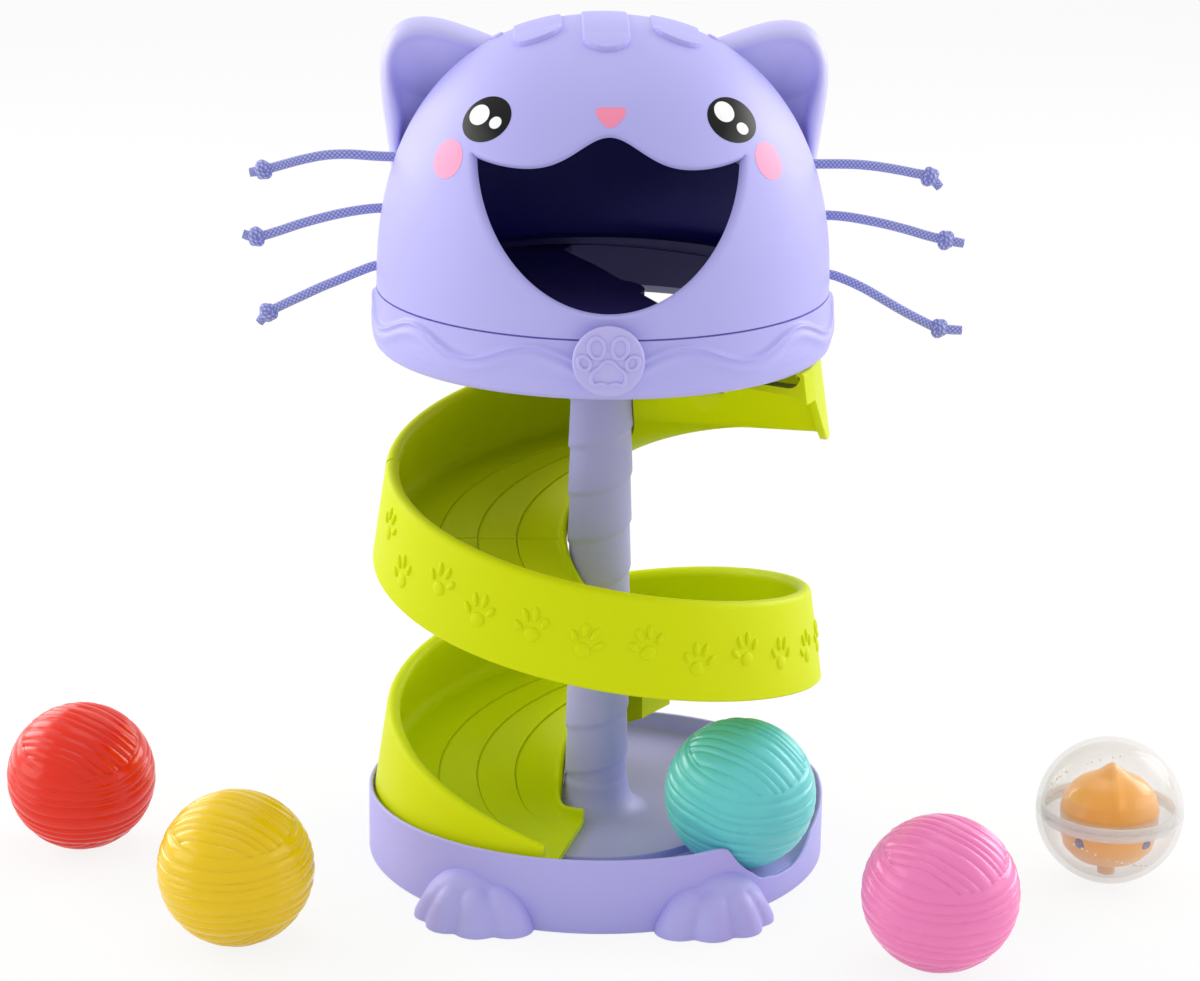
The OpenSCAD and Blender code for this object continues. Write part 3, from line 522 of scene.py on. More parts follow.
def track_run(a0, a1):
    steps = ceil((a1 - a0) / TRACK_STEP)
    angles = [a0 + (a1 - a0) * k / steps for k in range(steps + 1)]
    bm = swept([ring_at(track_section(a), a) for a in angles])
    close_up(bm)
    return bm


def spiral_bar(rows):
    """A bar that follows the floor; each row is an angle, two radii and two depths under the floor."""
    rings = []
    for a, r0, r1, top, low in rows:
        f = floor_z(a)
        rings.append(ring_at([(r0, f - low), (r0, f - top), (r1, f - top), (r1, f - low)], a))
    bm = swept(rings)
    close_up(bm)
    return bm


TONGUE_R, TONGUE_W, TONGUE_TOP = 34.0, 16.0, FLOOR_T + GAP
TONGUE_LOW = TONGUE_TOP + 2.0
TONGUE_ROOT = 1.2
HOUSING_T, HOUSING_ANGLE, DEEP_HOUSING = 1.8, 26.0, 13.0
JOINT_CUT = 0.9


def tongue(a):
    """The lower segment's tongue, which reaches under the upper one at a seam."""
    r0, r1 = TONGUE_R, TONGUE_R + TONGUE_W
    rows = [(a - 11 + 12.2 * k / 5, r0, r1, TONGUE_TOP, TONGUE_LOW) for k in range(6)]
    rows += [(a + ahead, r0, r1, TONGUE_ROOT, TONGUE_LOW) for ahead in (2.4, 6)]
    return spiral_bar(rows)


def housing(a, depth=0.0):
    """The trough under the upper segment that holds the tongue; depth thickens its foot."""
    r0, r1 = TONGUE_R - GAP, TONGUE_R + TONGUE_W + GAP
    low, t = TONGUE_LOW + GAP, HOUSING_T
    rings = []
    for k in range(10):
        b = a - 0.4 - HOUSING_ANGLE * (1 - k / 9)
        f = floor_z(b)
        foot, root = f - low - t - depth, f - TONGUE_ROOT
        rings.append(ring_at([(r0 - t, foot), (r0 - t, root), (r0, root), (r0, f - low), (r1, f - low),
                              (r1, root), (r1 + t, root), (r1 + t, foot)], b))
    bm = swept(rings)
    close_up(bm)
    return bm


def outer_wall(a, z):
    """Radius of the outer face of the wall at an angle and height."""
    t, b = wall_top(a), skirt_z(a)
    top_r = TRACK_R - WALL_LEAN * (t - b) / (WALL_H + SKIRT_H)
    return lerp(TRACK_R, top_r, clamp((z - b) / (t - RIM_T / 2 - b)))


PRINT_PADS = [(0.0, -2.5, 3.1, 2.7, 0), (-5.0, 0.9, 1.25, 2.3, 38), (-2.0, 4.5, 1.3, 2.7, 12),
              (2.0, 4.7, 1.3, 2.7, -12), (5.2, 1.4, 1.25, 2.3, -38)]
PRINTS = [(199.7, 138.0, -20), (210.6, 124.4, 14), (226.5, 127.3, -16), (239.0, 119.8, -4),
          (253.4, 117.3, 6), (266.9, 112.6, -24), (282.3, 111.2, 10), (295.7, 103.3, -16),
          (310.2, 102.9, 6), (323.8, 96.6, -14), (338.6, 92.6, 8), (352.0, 90.0, -10)]


def paw_print(a, z, tilt):
    """A main pad and toes that stand a little out of the wall at an angle and height."""
    parts = []
    c, s = cos(radians(tilt)), sin(radians(tilt))
    for x, y, rx, ry, lean in PRINT_PADS:
        bm = bmesh.new()
        bmesh.ops.create_uvsphere(bm, u_segments=20, v_segments=10, radius=1)
        cl, sl = cos(radians(lean + tilt)), sin(radians(lean + tilt))
        for v in bm.verts:
            px, py, out = v.co.x * rx, v.co.y * ry, v.co.z
            zz = z + (px * sl + py * cl + (x * s + y * c))
            angle = a + ((px * cl - py * sl + (x * c - y * s)) / TRACK_R) * 180 / pi
            v.co = polar(outer_wall(angle, zz) + out, angle, zz)
        parts.append(bm)
    return join(*parts)


def raise_flat(bm, rise):
    """Extrude a flat shape by a vector and turn its faces outwards."""
    made = bmesh.ops.extrude_face_region(bm, geom=bm.faces[:])["geom"]
    bmesh.ops.translate(bm, vec=rise, verts=[g for g in made if isinstance(g, bmesh.types.BMVert)])
    bmesh.ops.recalc_face_normals(bm, faces=bm.faces)


LEDGE_X = [14.6, 18, 33, 44.6]
LEDGE_Y = [-46, -40.2, -37.8, -26]
LEDGE_T = 1.8
HOOK = [(0, 0.5), (0.25, -1.6), (0.5, -3), (0.8, -1.9), (0.95, 0.5)]
HOOK_X, HOOK_Y, HOOK_L, HOOK_T = 31.1, -45.2, 13.5, 4


def ledge():
    """The plate in front of the scoop with its slot, and the hook under its edge."""
    z = floor_z(START - SCOOP) - FLOOR_T * 0.85
    wall = tan(radians(START - SCOOP - 2.5))

    def place(u, w):
        x = LEDGE_X[round(u * 3)]
        return Vector((x, LEDGE_Y[round(w * 4)] if w < 0.9 else x * wall, z))
    plate = shaped_sheet(3, 4, place)
    slot_x, slot_y = (LEDGE_X[1] + LEDGE_X[2]) / 2, (LEDGE_Y[1] + LEDGE_Y[2]) / 2
    middles = {f: f.calc_center_median() for f in plate.faces}
    slot = [f for f, c in middles.items() if abs(c.x - slot_x) < 1 and abs(c.y - slot_y) < 1]
    bmesh.ops.delete(plate, geom=slot, context="FACES")
    raise_flat(plate, (0, 0, LEDGE_T))
    hook = bmesh.new()
    hook.faces.new([hook.verts.new((HOOK_X + HOOK_L * x, HOOK_Y, z + y * LEDGE_T)) for x, y in HOOK])
    raise_flat(hook, (0, HOOK_T, 0))
    return join(plate, hook)


def build_track():
    turns = [START - SCOOP - 5] + [START - SCOOP * (1 - k / 12) for k in range(12)]
    turns += [START + k * TRACK_STEP for k in range(94)] + [UPPER_END]
    upper = swept([ring_at(track_section(a), a) for a in turns])
    close_up(upper)
    upper = join(upper, housing(UPPER_END), ledge())
    middle = join(track_run(UPPER_END + JOINT_CUT, MIDDLE_END), tongue(UPPER_END),
                  housing(MIDDLE_END, DEEP_HOUSING))
    lower = join(track_run(MIDDLE_END + JOINT_CUT, TRACK_END), tongue(MIDDLE_END))
    for name, run in (("upper_track", upper), ("middle_track", middle), ("lower_track", lower)):
        piece(name + "_run", run, LIME, replaces=(name,))
    piece("paw_prints", join(*(paw_print(*spot) for spot in PRINTS)), LIME)


build_track()


# Base tray and post

TRAY_R, TRAY_WALL, TRAY_H, RIM_RISE, CAVITY_R = 89.2, 1.6, 25.7, 7.4, 86
HUB_R, HUB_T, HUB_TOP, HUB_UNDER, PAD_R = 51.8, 2.6, 11.8, 9.2, 14
RIM_MARK, WALL_MARK, WALL_FOOT = 100, 50, 6.0
TEAL = Vector((54.8, -46.4, 39.7))
BALL_R = 28.8
PATH_TURN = -15
NOTCH = [(-66, 0.0), (-61, 0.4), (-57.5, 0.3), (-56, -0.6), (-54.5, -2.6), (-52.5, -5.6), (-50, -9.5),
         (-48, -12.6), (-46, -15.2), (-44, -16.6), (-40, -16.2), (-34, -14.0), (-24, -9.6), (-12, -5.4),
         (0, -1.6), (8, 0.0)]


def gutter_at(x, y):
    return GUTTER_Z - GUTTER_TILT * (x * cos(radians(GUTTER_TURN)) + y * sin(radians(GUTTER_TURN)))


def rim_at(x, y):
    """Height of the tray's rim: a slope, the notch, and the path that a ball needs to roll out."""
    a = atan2(y, x) * 180 / pi
    z = TRAY_H - RIM_RISE / 2 * y / TRAY_R + along(NOTCH, a)
    d = polar(1, PATH_TURN)
    side = (x - TEAL.x) * -d.y + (y - TEAL.y) * d.x
    ahead = (x - TEAL.x) * d.x + (y - TEAL.y) * d.y
    reach = BALL_R + 1
    if abs(side) < reach and ahead > -6:
        z = min(z, TEAL.z - sqrt(reach * reach - side * side))
    return max(z, gutter_at(x, y) + 0.1)


def tray():
    """A spun profile; points at WALL_MARK and RIM_MARK then move to the wall's middle and its rim."""
    hub = HUB_R + HUB_T
    rim = arc_points(TRAY_R - TRAY_WALL / 2, RIM_MARK - 0.8, TRAY_WALL / 2, 20, 160, 6)[::-1]
    top = [(0, HUB_TOP), (HUB_R, HUB_TOP), (hub - 0.4, HUB_TOP), (hub, HUB_TOP - 0.3), (hub, GUTTER_Z - 0.6)]
    top += [(hub + 0.5 + 6 * k, GUTTER_Z) for k in range(5)]
    top += arc_points(TRAY_R - TRAY_WALL - 2, GUTTER_Z + 2, 2, 270, 350, 4)
    wall = [(TRAY_R - 0.05, RIM_MARK - 0.8), (TRAY_R, WALL_MARK), (TRAY_R, 0.6), (TRAY_R - 0.6, 0)]
    under = [(CAVITY_R + 0.6, 0), (CAVITY_R, GUTTER_Z - GUTTER_T), (hub, GUTTER_Z - GUTTER_T), (hub, 0),
             (HUB_R, 0), (HUB_R, HUB_UNDER), (PAD_R, HUB_UNDER), (PAD_R, 0), (0, 0)]
    bm = lathe(top + rim + wall + under, 360, closed=False)
    for v in bm.verts:
        x, y, z = v.co
        r = hypot(x, y)
        if z > WALL_MARK - 1:
            high = rim_at(x, y)
            v.co.z = high + (z - RIM_MARK) if z > WALL_MARK + 1 else lerp(WALL_FOOT, high, 0.5)
        elif r > hub + 0.3 and abs(z - GUTTER_Z) < 4 and r < TRAY_R - 1:
            low = gutter_at(x, y)
            v.co.z = low + min(z - GUTTER_Z, max(0, rim_at(x, y) - 0.9 - low))
    close_up(bm)
    return bm


TOES = [(-0.29, 0.23, 0.213), (-0.03, 0.2, 0.202), (0.2, 0.29, 0.191), (0.33, 0.485, 0.165)]
PAW_W, PAW_REACH, PAW_X = 46.0, 95.5, 45.0


def paw(side):
    """Toes that melt into a mound: balls joined by a remesh, smoothed and cut flat at the ground."""
    bm = bmesh.new()
    mound = Vector((0, PAW_W * 0.5 - PAW_REACH, 0))
    bmesh.ops.create_icosphere(bm, subdivisions=5, radius=PAW_W * 0.45,
                               matrix=Matrix.Translation(mound) @ Matrix.Diagonal((1, 0.78, 0.96, 1)))
    for x, y, r in TOES:
        tip = Vector((x * PAW_W, y * PAW_W - PAW_REACH, 0))
        knuckle = Vector((x * PAW_W * 0.66, mound.y - 4, 9.5))
        for k in range(9):
            t = k / 8
            spot = tip.lerp(knuckle, t) + Vector((0, -1.4, 2.4)) * sin(pi * t)
            bmesh.ops.create_icosphere(bm, subdivisions=3, radius=r * PAW_W * lerp(0.98, 0.7, t),
                                       matrix=Matrix.Translation(spot))
    bm.transform(Matrix.Translation((PAW_X, 0, 0)))
    mesh = bpy.data.meshes.new("paw_clay")
    bm.to_mesh(mesh)
    bm.free()
    clay = bpy.data.objects.new("paw_clay", mesh)
    scene.collection.objects.link(clay)
    melt = clay.modifiers.new("melt", "REMESH")
    melt.mode = "VOXEL"
    melt.voxel_size = 0.8
    calm = clay.modifiers.new("calm", "SMOOTH")
    calm.iterations = 3
    done = bpy.data.meshes.new_from_object(clay.evaluated_get(bpy.context.evaluated_depsgraph_get()))
    bpy.data.objects.remove(clay)
    bm = bmesh.new()
    bm.from_mesh(done)
    bpy.data.meshes.remove(done)
    bmesh.ops.bisect_plane(bm, geom=bm.verts[:] + bm.edges[:] + bm.faces[:], plane_co=(0, 0, 0.1),
                           plane_no=(0, 0, -1), clear_outer=True)
    inside = TRAY_R - 1.2
    for v in bm.verts:
        r = hypot(v.co.x, v.co.y)
        if r < inside:
            v.co.x *= inside / r
            v.co.y *= inside / r
            v.co.z = min(v.co.z, rim_at(v.co.x, v.co.y) - 0.8)
    return to_side(bm, side)


PLATE_R, POST_BORE, POST_TOP = 51.5, 10.0, SEAM_Z - 4.2
WRAP_PITCH, WRAP_DEPTH, WRAP_EDGE = 19, 0.8, 0.06


def post():
    """Foot plate, flare and tube; a shallow step winds up the tube like a wrapping."""
    low = FOOT_TOP + FLARE_H
    rows = 190
    profile = [(POST_BORE, HUB_TOP), (PLATE_R, HUB_TOP), (PLATE_R, FOOT_TOP - 0.5)]
    profile += [(r, FOOT_TOP) for r in (PLATE_R - 0.3, 44, 33)]
    flare = [radians(9 * k) for k in range(11)]
    profile += [(POST_R + FOOT_CURVE * (1 - sin(a)), FOOT_TOP + FLARE_H * (1 - cos(a))) for a in flare]
    profile += [(POST_R, lerp(low, POST_TOP, k / rows)) for k in range(1, rows + 1)]
    profile += [(POST_BORE, POST_TOP)]
    bm = lathe(profile, 96)
    for v in bm.verts:
        x, y, z = v.co
        r = hypot(x, y)
        if r > POST_BORE + 1.5 and low + 1 < z < POST_TOP - 0.5:
            turn = ((z - atan2(y, x) / (2 * pi) * WRAP_PITCH) / WRAP_PITCH) % 1
            step = WRAP_DEPTH * (1 - turn) if turn > WRAP_EDGE else WRAP_DEPTH * turn / WRAP_EDGE
            scale = (POST_R - WRAP_DEPTH + step) / r
            v.co.x *= scale
            v.co.y *= scale
    return bm


piece("base_tray_shell", tray(), LAVENDER, replaces=("base_tray",), sharp=50)
piece("front_paw_left", paw(-1), LAVENDER, sharp=60)
piece("front_paw_right", paw(1), LAVENDER, sharp=60)
piece("post_wrapped", post(), LAVENDER, replaces=("post",), sharp=45)


# Head

HEAD_R, DOME_H, DOME_POWER, DOME_WALL = 85.0, 100.5, 0.87, 2.8
HEAD_TURN = Matrix.Rotation(radians(1.5), 4, "Z")
MOUTH_W, MOUTH_TOP, MOUTH_LOW, MOUTH_RISE, MOUTH_DIP = 98.8, 287.0, 233.2, 9.8, 2.4
MOUTH_LIP = [(0.12, 0.3), (0.4, 0.72), (0.9, 1.05), (1.7, 1.3), (2.75, 1.4)]


def dome_radius(z):
    s = clamp((z - SEAM_Z) / DOME_H) ** (1 / DOME_POWER)
    return HEAD_R * (1 - s * s) ** (DOME_POWER / 2) if s < 1 else 0.0


def dome_normal(p):
    e = 2 / DOME_POWER
    r = max(hypot(p.x, p.y), 1e-6)
    radial = e * (r / HEAD_R) ** (e - 1) / HEAD_R
    up = e * max((p.z - SEAM_Z) / DOME_H, 0) ** (e - 1) / DOME_H
    return Vector((radial * p.x / r, radial * p.y / r, up)).normalized()


def on_dome(x, z, out=0.0):
    """The point on the front of the dome at sideways place x and height z."""
    r = dome_radius(z)
    p = Vector((x, -sqrt(max(r * r - x * x, 0)), z))
    return p + dome_normal(p) * out


def on_dome_above(x, y, out=0.0):
    """The point on the dome under plan place x, y."""
    s = clamp(hypot(x, y) / HEAD_R) ** (1 / DOME_POWER)
    p = Vector((x, y, SEAM_Z + DOME_H * (1 - s * s) ** (DOME_POWER / 2)))
    return p + dome_normal(p) * out


def settle_on_dome(p, out=0.0):
    """Push a point near the dome on to it along the line from the head's middle."""
    core = Vector((0, 0, SEAM_Z + 30))
    d = (p - core).normalized()
    low, high = 20.0, 120.0
    for _ in range(40):
        t = (low + high) / 2
        q = core + d * t
        inside = q.z < SEAM_Z + DOME_H and hypot(q.x, q.y) < dome_radius(q.z)
        low, high = (t, high) if inside else (low, t)
    q = core + d * low
    return q + dome_normal(q) * out


def mouth_outline():
    """The mouth seen from the front: half an ellipse below and a soft wave above."""
    count = 260
    depth = MOUTH_TOP - MOUTH_LOW
    angles = [pi * k / count for k in range(count)]
    pts = [(MOUTH_W / 2 * cos(a), MOUTH_TOP - depth * sin(a)) for a in angles]
    for k in range(count):
        x = -0.5 + k / count
        pts.append((MOUTH_W * x, MOUTH_TOP + (MOUTH_RISE + MOUTH_DIP) * exp(-(x / 0.17) ** 2)
                    - MOUTH_DIP * (1 - abs(2 * x) ** 6)))
    return pts


OUTLINE = mouth_outline()
MOUTH_EDGES = list(zip(OUTLINE, OUTLINE[1:] + OUTLINE[:1]))


def in_mouth(x, z):
    inside = False
    for (x0, z0), (x1, z1) in MOUTH_EDGES:
        if (z0 > z) != (z1 > z) and x < x0 + (z - z0) * (x1 - x0) / (z1 - z0):
            inside = not inside
    return inside


def nearest_on_mouth(x, z):
    """The nearest point of the mouth's outline and the direction into the mouth there."""
    best = None
    for (x0, z0), (x1, z1) in MOUTH_EDGES:
        dx, dz = x1 - x0, z1 - z0
        length = dx * dx + dz * dz
        if length < 1e-9:
            continue
        t = clamp(((x - x0) * dx + (z - z0) * dz) / length)
        qx, qz = x0 + dx * t, z0 + dz * t
        d = (qx - x) ** 2 + (qz - z) ** 2
        if best is None or d < best[0]:
            best = (d, qx, qz, dz, -dx)
    _, qx, qz, nx, nz = best
    n = hypot(nx, nz)
    nx, nz = nx / n, nz / n
    if not in_mouth(qx + nx * 0.3, qz + nz * 0.3):
        nx, nz = -nx, -nz
    return qx, qz, nx, nz


def grow_loop(bm, edges):
    """Extrude a loop of edges; gives the new edges and the pairs of new and old points."""
    old = {v for e in edges for v in e.verts}
    made = bmesh.ops.extrude_edge_only(bm, edges=edges)["geom"]
    new = [g for g in made if isinstance(g, bmesh.types.BMVert)]
    pairs = {v: e.other_vert(v) for v in new for e in v.link_edges if e.other_vert(v) in old}
    loop = [g for g in made if isinstance(g, bmesh.types.BMEdge) and all(v in pairs for v in g.verts)]
    return loop, pairs


def head_shell():
    """The dome with its mouth cut out, an inner skin, a rounded lip between them and a flat foot."""
    rows = 104
    profile = [(HEAD_R * cos(radians(90 * k / rows)) ** DOME_POWER if k < rows else 0,
                SEAM_Z + DOME_H * sin(radians(90 * k / rows)) ** DOME_POWER) for k in range(rows + 1)]
    bm = lathe(profile, 360, closed=False)
    mouth_cap = MOUTH_TOP + MOUTH_RISE + 1
    hole = []
    for f in bm.faces:
        c = f.calc_center_median()
        near = c.y < 0 and abs(c.x) < MOUTH_W / 2 and MOUTH_LOW < c.z < mouth_cap
        if near and in_mouth(c.x, c.z):
            hole.append(f)
    bmesh.ops.delete(bm, geom=hole, context="FACES")
    lip = [e for e in bm.edges if e.is_boundary and min(v.co.z for v in e.verts) > SEAM_Z + 2]
    base = {}
    for v in {v for e in lip for v in e.verts}:
        x, z, nx, nz = nearest_on_mouth(v.co.x, v.co.z)
        v.co = on_dome(x, z)
        n = dome_normal(v.co)
        into = Vector((nx, -(nx * n.x + nz * n.z) / n.y, nz)).normalized()
        base[v] = (v.co.copy(), n, into)
    foot = [e for e in bm.edges if e.is_boundary and max(v.co.z for v in e.verts) < SEAM_Z + 0.01]
    copy = bmesh.ops.duplicate(bm, geom=bm.verts[:] + bm.edges[:] + bm.faces[:])["geom"]
    inner_verts = {g for g in copy if isinstance(g, bmesh.types.BMVert)}
    for v in inner_verts:
        v.co = v.co - dome_normal(v.co) * DOME_WALL
    loop = lip
    for deep, inward in MOUTH_LIP:
        loop, pairs = grow_loop(bm, loop)
        for new, old in pairs.items():
            p, n, into = base[old]
            new.co = p - n * deep + into * inward
            base[new] = base[old]
    inner_lip = [e for e in bm.edges if e.is_boundary and e.verts[0] in inner_verts
                 and min(v.co.z for v in e.verts) > SEAM_Z + 2]
    bmesh.ops.bridge_loops(bm, edges=loop + inner_lip)
    inner_foot = [e for e in bm.edges if e.is_boundary and e.verts[0] in inner_verts]
    bmesh.ops.bridge_loops(bm, edges=foot + inner_foot)
    # The UV map inside marks the inner skin's faces, which take the painted shade.
    layer = bm.loops.layers.uv.new("inside")
    for face in bm.faces:
        within = all(v in inner_verts for v in face.verts)
        for loop in face.loops:
            loop[layer].uv = (1.0 if within else 0.0, 0.5)
    close_up(bm)
    return bm


EAR = [(80.0, 266), (81.8, 280), (83.2, 290), (84.0, 299), (84.0, 305.5), (83.2, 311), (81.2, 316),
       (78.0, 319.8), (73.8, 322.2), (68.8, 323.0), (63.4, 322.7), (57.6, 321.4), (50.2, 319.0),
       (43.2, 316.4), (34, 312.6), (25, 307), (26, 294), (40, 278), (58, 264), (72, 260)]
EAR_BACK, EAR_EDGE, EAR_HOLLOW = 28.4, (6.2, 10.4), 13.5
EAR_SKIN = [(5.5, EAR_BACK), (2.6, 27.4), (0.9, 25.2), (0.1, 21.5), (0.0, 18.5), (0.4, 14.6), (1.5, 11.4),
            (3.0, 9.5), (4.2, 9.0), (5.2, 9.3), EAR_EDGE]


def ear(side):
    """Rings round one spot: a flat back, a rolled rim, and a hollow that is steepest at the outer rim."""
    spot = Vector((64.5, 0, 290))
    outline = smooth_route([(x, 0, z) for x, z in EAR + EAR[:1]])[:-1]
    rings = [[Vector((spot.x, EAR_BACK, spot.z))] * len(outline)]
    for inset, y in EAR_SKIN:
        rings.append([p.lerp(spot, inset / (spot - p).length) + Vector((0, y, 0)) for p in outline])
    edge, front = EAR_EDGE
    for k in range(1, 15):
        ring = []
        for p in outline:
            away = (p - spot).normalized()
            slope = lerp(0.36, 1.05, ease((away.dot(Vector((-0.52, 0, 0.85))) + 0.15) / 0.8))
            start = p.lerp(spot, edge / (spot - p).length)
            ring.append(start.lerp(spot, k / 14) + Vector((0, front + EAR_HOLLOW * (k / 14) ** slope, 0)))
        rings.append(ring)
    return to_side(swept(rings), side)


def flipped(edge):
    return [(-x, y) for x, y in reversed(edge)]


MIDDLE_EDGE = [(-9.2, -29), (-8.6, -31.6), (-7, -34.2), (-4, -36.5), (-0.6, -37.2), (2.8, -36.5),
               (5.8, -34.2), (7.4, -31.6), (8.0, -29)]
SIDE_EDGE = [(16.4, -13.6), (17.2, -17.6), (19.4, -21.2), (22.4, -23.1), (26, -24), (29, -23.8),
             (31.6, -22.4), (33.4, -19.6), (34.3, -15.4)]
FAR_EDGE = [(37.8, 5), (38.6, 2.6), (40.2, 1.8), (41.8, 2.6), (42.6, 5)]
STRIPES = {"middle": (MIDDLE_EDGE, 44, 0.9, -24), "right": (SIDE_EDGE, 32, 0.9, -11),
           "left": (flipped(SIDE_EDGE), 32, 0.9, -11), "far_right": (FAR_EDGE, 24, 0.8),
           "far_left": (flipped(FAR_EDGE), 24, 0.8)}


def stripe(edge, back, high, crease=None):
    """A raised band over the head; edge is its front line in plan, crease the line where a facet ends."""
    x0, x1 = edge[0][0], edge[-1][0]

    def place(u, w):
        x = lerp(x0, x1, (1 - cos(pi * u)) / 2)
        front = along(edge, x)
        y = lerp(front, back, w ** 1.4)
        side = ease(0.15 + min(x - x0, x1 - x) / 0.8)
        rise = ease(0.15 + (y - front) / 1.1)
        ahead = rise if crease is None else rise * lerp(2.1, 1, clamp((y - front) / (crease - front)))
        tail = clamp((back - y) / 3)
        return on_dome_above(x, y, -0.6 if u in (0, 1) or w in (0, 1) else high * min(side, tail) * ahead)

    def under(u, w):
        p = place(u, w)
        return p if u in (0, 1) or w in (0, 1) else on_dome_above(p.x, p.y, -1.2)

    bm = join(shaped_sheet(36, 96, place), shaped_sheet(36, 96, under))
    close_up(bm)
    return bm


FACE = {
    "eye_left": ((-42.87, -50.09, 297.89), 10.76, 9.34, -2.5, 0.1, EYE),
    "eye_right": ((46.04, -46.8, 298.27), 11.5, 9.31, 3.4, 0.1, EYE),
    "eye_light_left": ((-45.26, -47.14, 298.68), 4.74, 4.0, -20, 0.2, PRINT_WHITE),
    "eye_spark_left": ((-39.27, -53.7, 297.05), 2.59, 2.38, -16, 0.2, PRINT_WHITE),
    "eye_light_right": ((42.83, -46.91, 301.03), 4.71, 4.08, 27, 0.2, PRINT_WHITE),
    "eye_spark_right": ((49.43, -46.74, 294.85), 2.81, 2.37, 2, 0.2, PRINT_WHITE),
    "cheek_left": ((-56.49, -48.87, 282.76), 7.93, 7.15, -29, 0.1, PRINT_PINK),
    "cheek_right": ((59.24, -45.34, 282.97), 7.33, 7.13, 16, 0.1, PRINT_PINK),
}


def printed(name, centre, a, b, tilt, out, material):
    """A thin printed patch on the dome, an ellipse of half axes a and b turned by tilt."""
    c = settle_on_dome(Vector(centre))
    n = dome_normal(c)
    e1 = Vector((0, 0, 1)).cross(n).normalized()
    e2 = n.cross(e1)
    t = radians(tilt)

    def place(u, w):
        x, y = a * w * cos(2 * pi * u), b * w * sin(2 * pi * u)
        return settle_on_dome(c + e1 * (x * cos(t) - y * sin(t)) + e2 * (x * sin(t) + y * cos(t)), out)

    front = shaped_sheet(56, 10, place)
    layer = front.loops.layers.uv.new("across")
    inward = e1 * (0.65 if name.endswith("left") else -0.65) + e2 * 0.75
    for face in front.faces:
        for loop in face.loops:
            d = loop.vert.co - c
            loop[layer].uv = (0.5 + d.dot(e1) / (2 * a), 0.5 + d.dot(inward) / (2 * b))
    bmesh.ops.remove_doubles(front, verts=front.verts, dist=0.0005)
    for new in grow_loop(front, [e for e in front.edges if e.is_boundary])[1]:
        new.co = settle_on_dome(new.co, -0.3)
    close_up(front)
    piece(name, front, material, sharp=60)


NOSE = [(-3.4, 303.0), (-2.2, 303.7), (1.6, 303.9), (5.9, 303.8), (7.3, 302.9), (6.6, 300.9), (3.8, 298.2),
        (1.7, 297.7), (-0.4, 298.4), (-2.9, 301.1)]


def nose():
    outline = smooth_route([(x, 0, z) for x, z in NOSE + NOSE[:1]], per=6)[:-1]
    mid = Vector((1.8, 0, 301.2))

    def place(u, w):
        p = mid.lerp(outline[round(u * len(outline)) % len(outline)], w)
        return on_dome(p.x, p.z, 0.1)

    bm = shaped_sheet(len(outline), 6, place)
    bmesh.ops.remove_doubles(bm, verts=bm.verts, dist=0.0005)
    for new in grow_loop(bm, [e for e in bm.edges if e.is_boundary])[1]:
        new.co = new.co - dome_normal(new.co) * 0.4
    close_up(bm)
    return bm


def build_head():
    piece("head_dome", head_shell(), HEAD, replaces=("head_shell",), sharp=60, turn=HEAD_TURN)
    for side, name in ((-1, "left"), (1, "right")):
        piece("ear_" + name, ear(side), EAR_PAINTED_LIGHT, sharp=180, turn=HEAD_TURN)
    for name, shape in STRIPES.items():
        sharp = 25 if name == "middle" else 60
        piece("stripe_" + name, stripe(*shape), LAVENDER, sharp=sharp, turn=HEAD_TURN)
    for name, patch in FACE.items():
        printed(name, *patch)
    piece("nose", nose(), PRINT_NOSE, sharp=60)


build_head()


# Collar and tag

COLLAR_IN, COLLAR_LOW, COLLAR_TOP = 82.2, 204.4, 225.3
COLLAR_SKIN = [(COLLAR_LOW, 84.6), (205.6, 85.7), (208, 86.5), (211, 86.9), (214, 86.7), (217, 86.1),
               (220, 85.5), (223, 85.2), (COLLAR_TOP, 85.1)]
WAVES, WAVE_Z, WAVE_H = 10, 219.2, 3.6


def collar():
    """A bulging ring with a raised wave round it, sharp above and soft below."""
    rows = 66
    heights = [lerp(COLLAR_LOW, COLLAR_TOP, k / rows) for k in range(rows + 1)]
    profile = [(COLLAR_IN, COLLAR_FOOT), (84.0, COLLAR_FOOT)]
    profile += [(along(COLLAR_SKIN, z), z) for z in heights]
    profile += [(83.2, COLLAR_TOP), (83.2, SEAM_Z), (COLLAR_IN, SEAM_Z)]
    bm = lathe(profile, 720)
    for v in bm.verts:
        x, y, z = v.co
        r = hypot(x, y)
        if r < 84.5 or not 204.3 < z < 225.7:
            continue
        a = atan2(y, x) + pi / 2
        d = z - (WAVE_Z - WAVE_H * cos(WAVES * a))
        crest = 1.5 * exp(-(d / 0.9) ** 2)
        under = 1.1 * exp(-((d + 3.6) / 2.2) ** 2) if d < 0 else 0.0
        fade = ease((z - 204.3) / 3)
        grown = (r + (crest + under) * fade) / r
        v.co.x *= grown
        v.co.y *= grown
    bmesh.ops.recalc_face_normals(bm, faces=bm.faces)
    return bm


TAG_Y, TAG_Z, TAG_R, TAG_T, TAG_LINE = 88.2, 219.5, 12.8, 3.0, 0.78
TAG_TOES = [(-4.2, 5.0, 2.8, 3.7, 6), (4.0, 5.0, 2.8, 3.7, -6), (-8.6, -0.4, 2.1, 2.6, 30),
            (8.5, -0.4, 2.1, 2.6, -30)]
TAG_PAD = [(-6.2, -6.2), (-5.4, -3.6), (-3.2, -1.8), (-1.8, -0.2), (0, 0.5), (1.8, -0.2), (3.2, -1.8),
           (5.4, -3.6), (6.2, -6.2), (5.0, -8.3), (2.4, -7.7), (0, -8.5), (-2.4, -7.7), (-5.0, -8.3)]


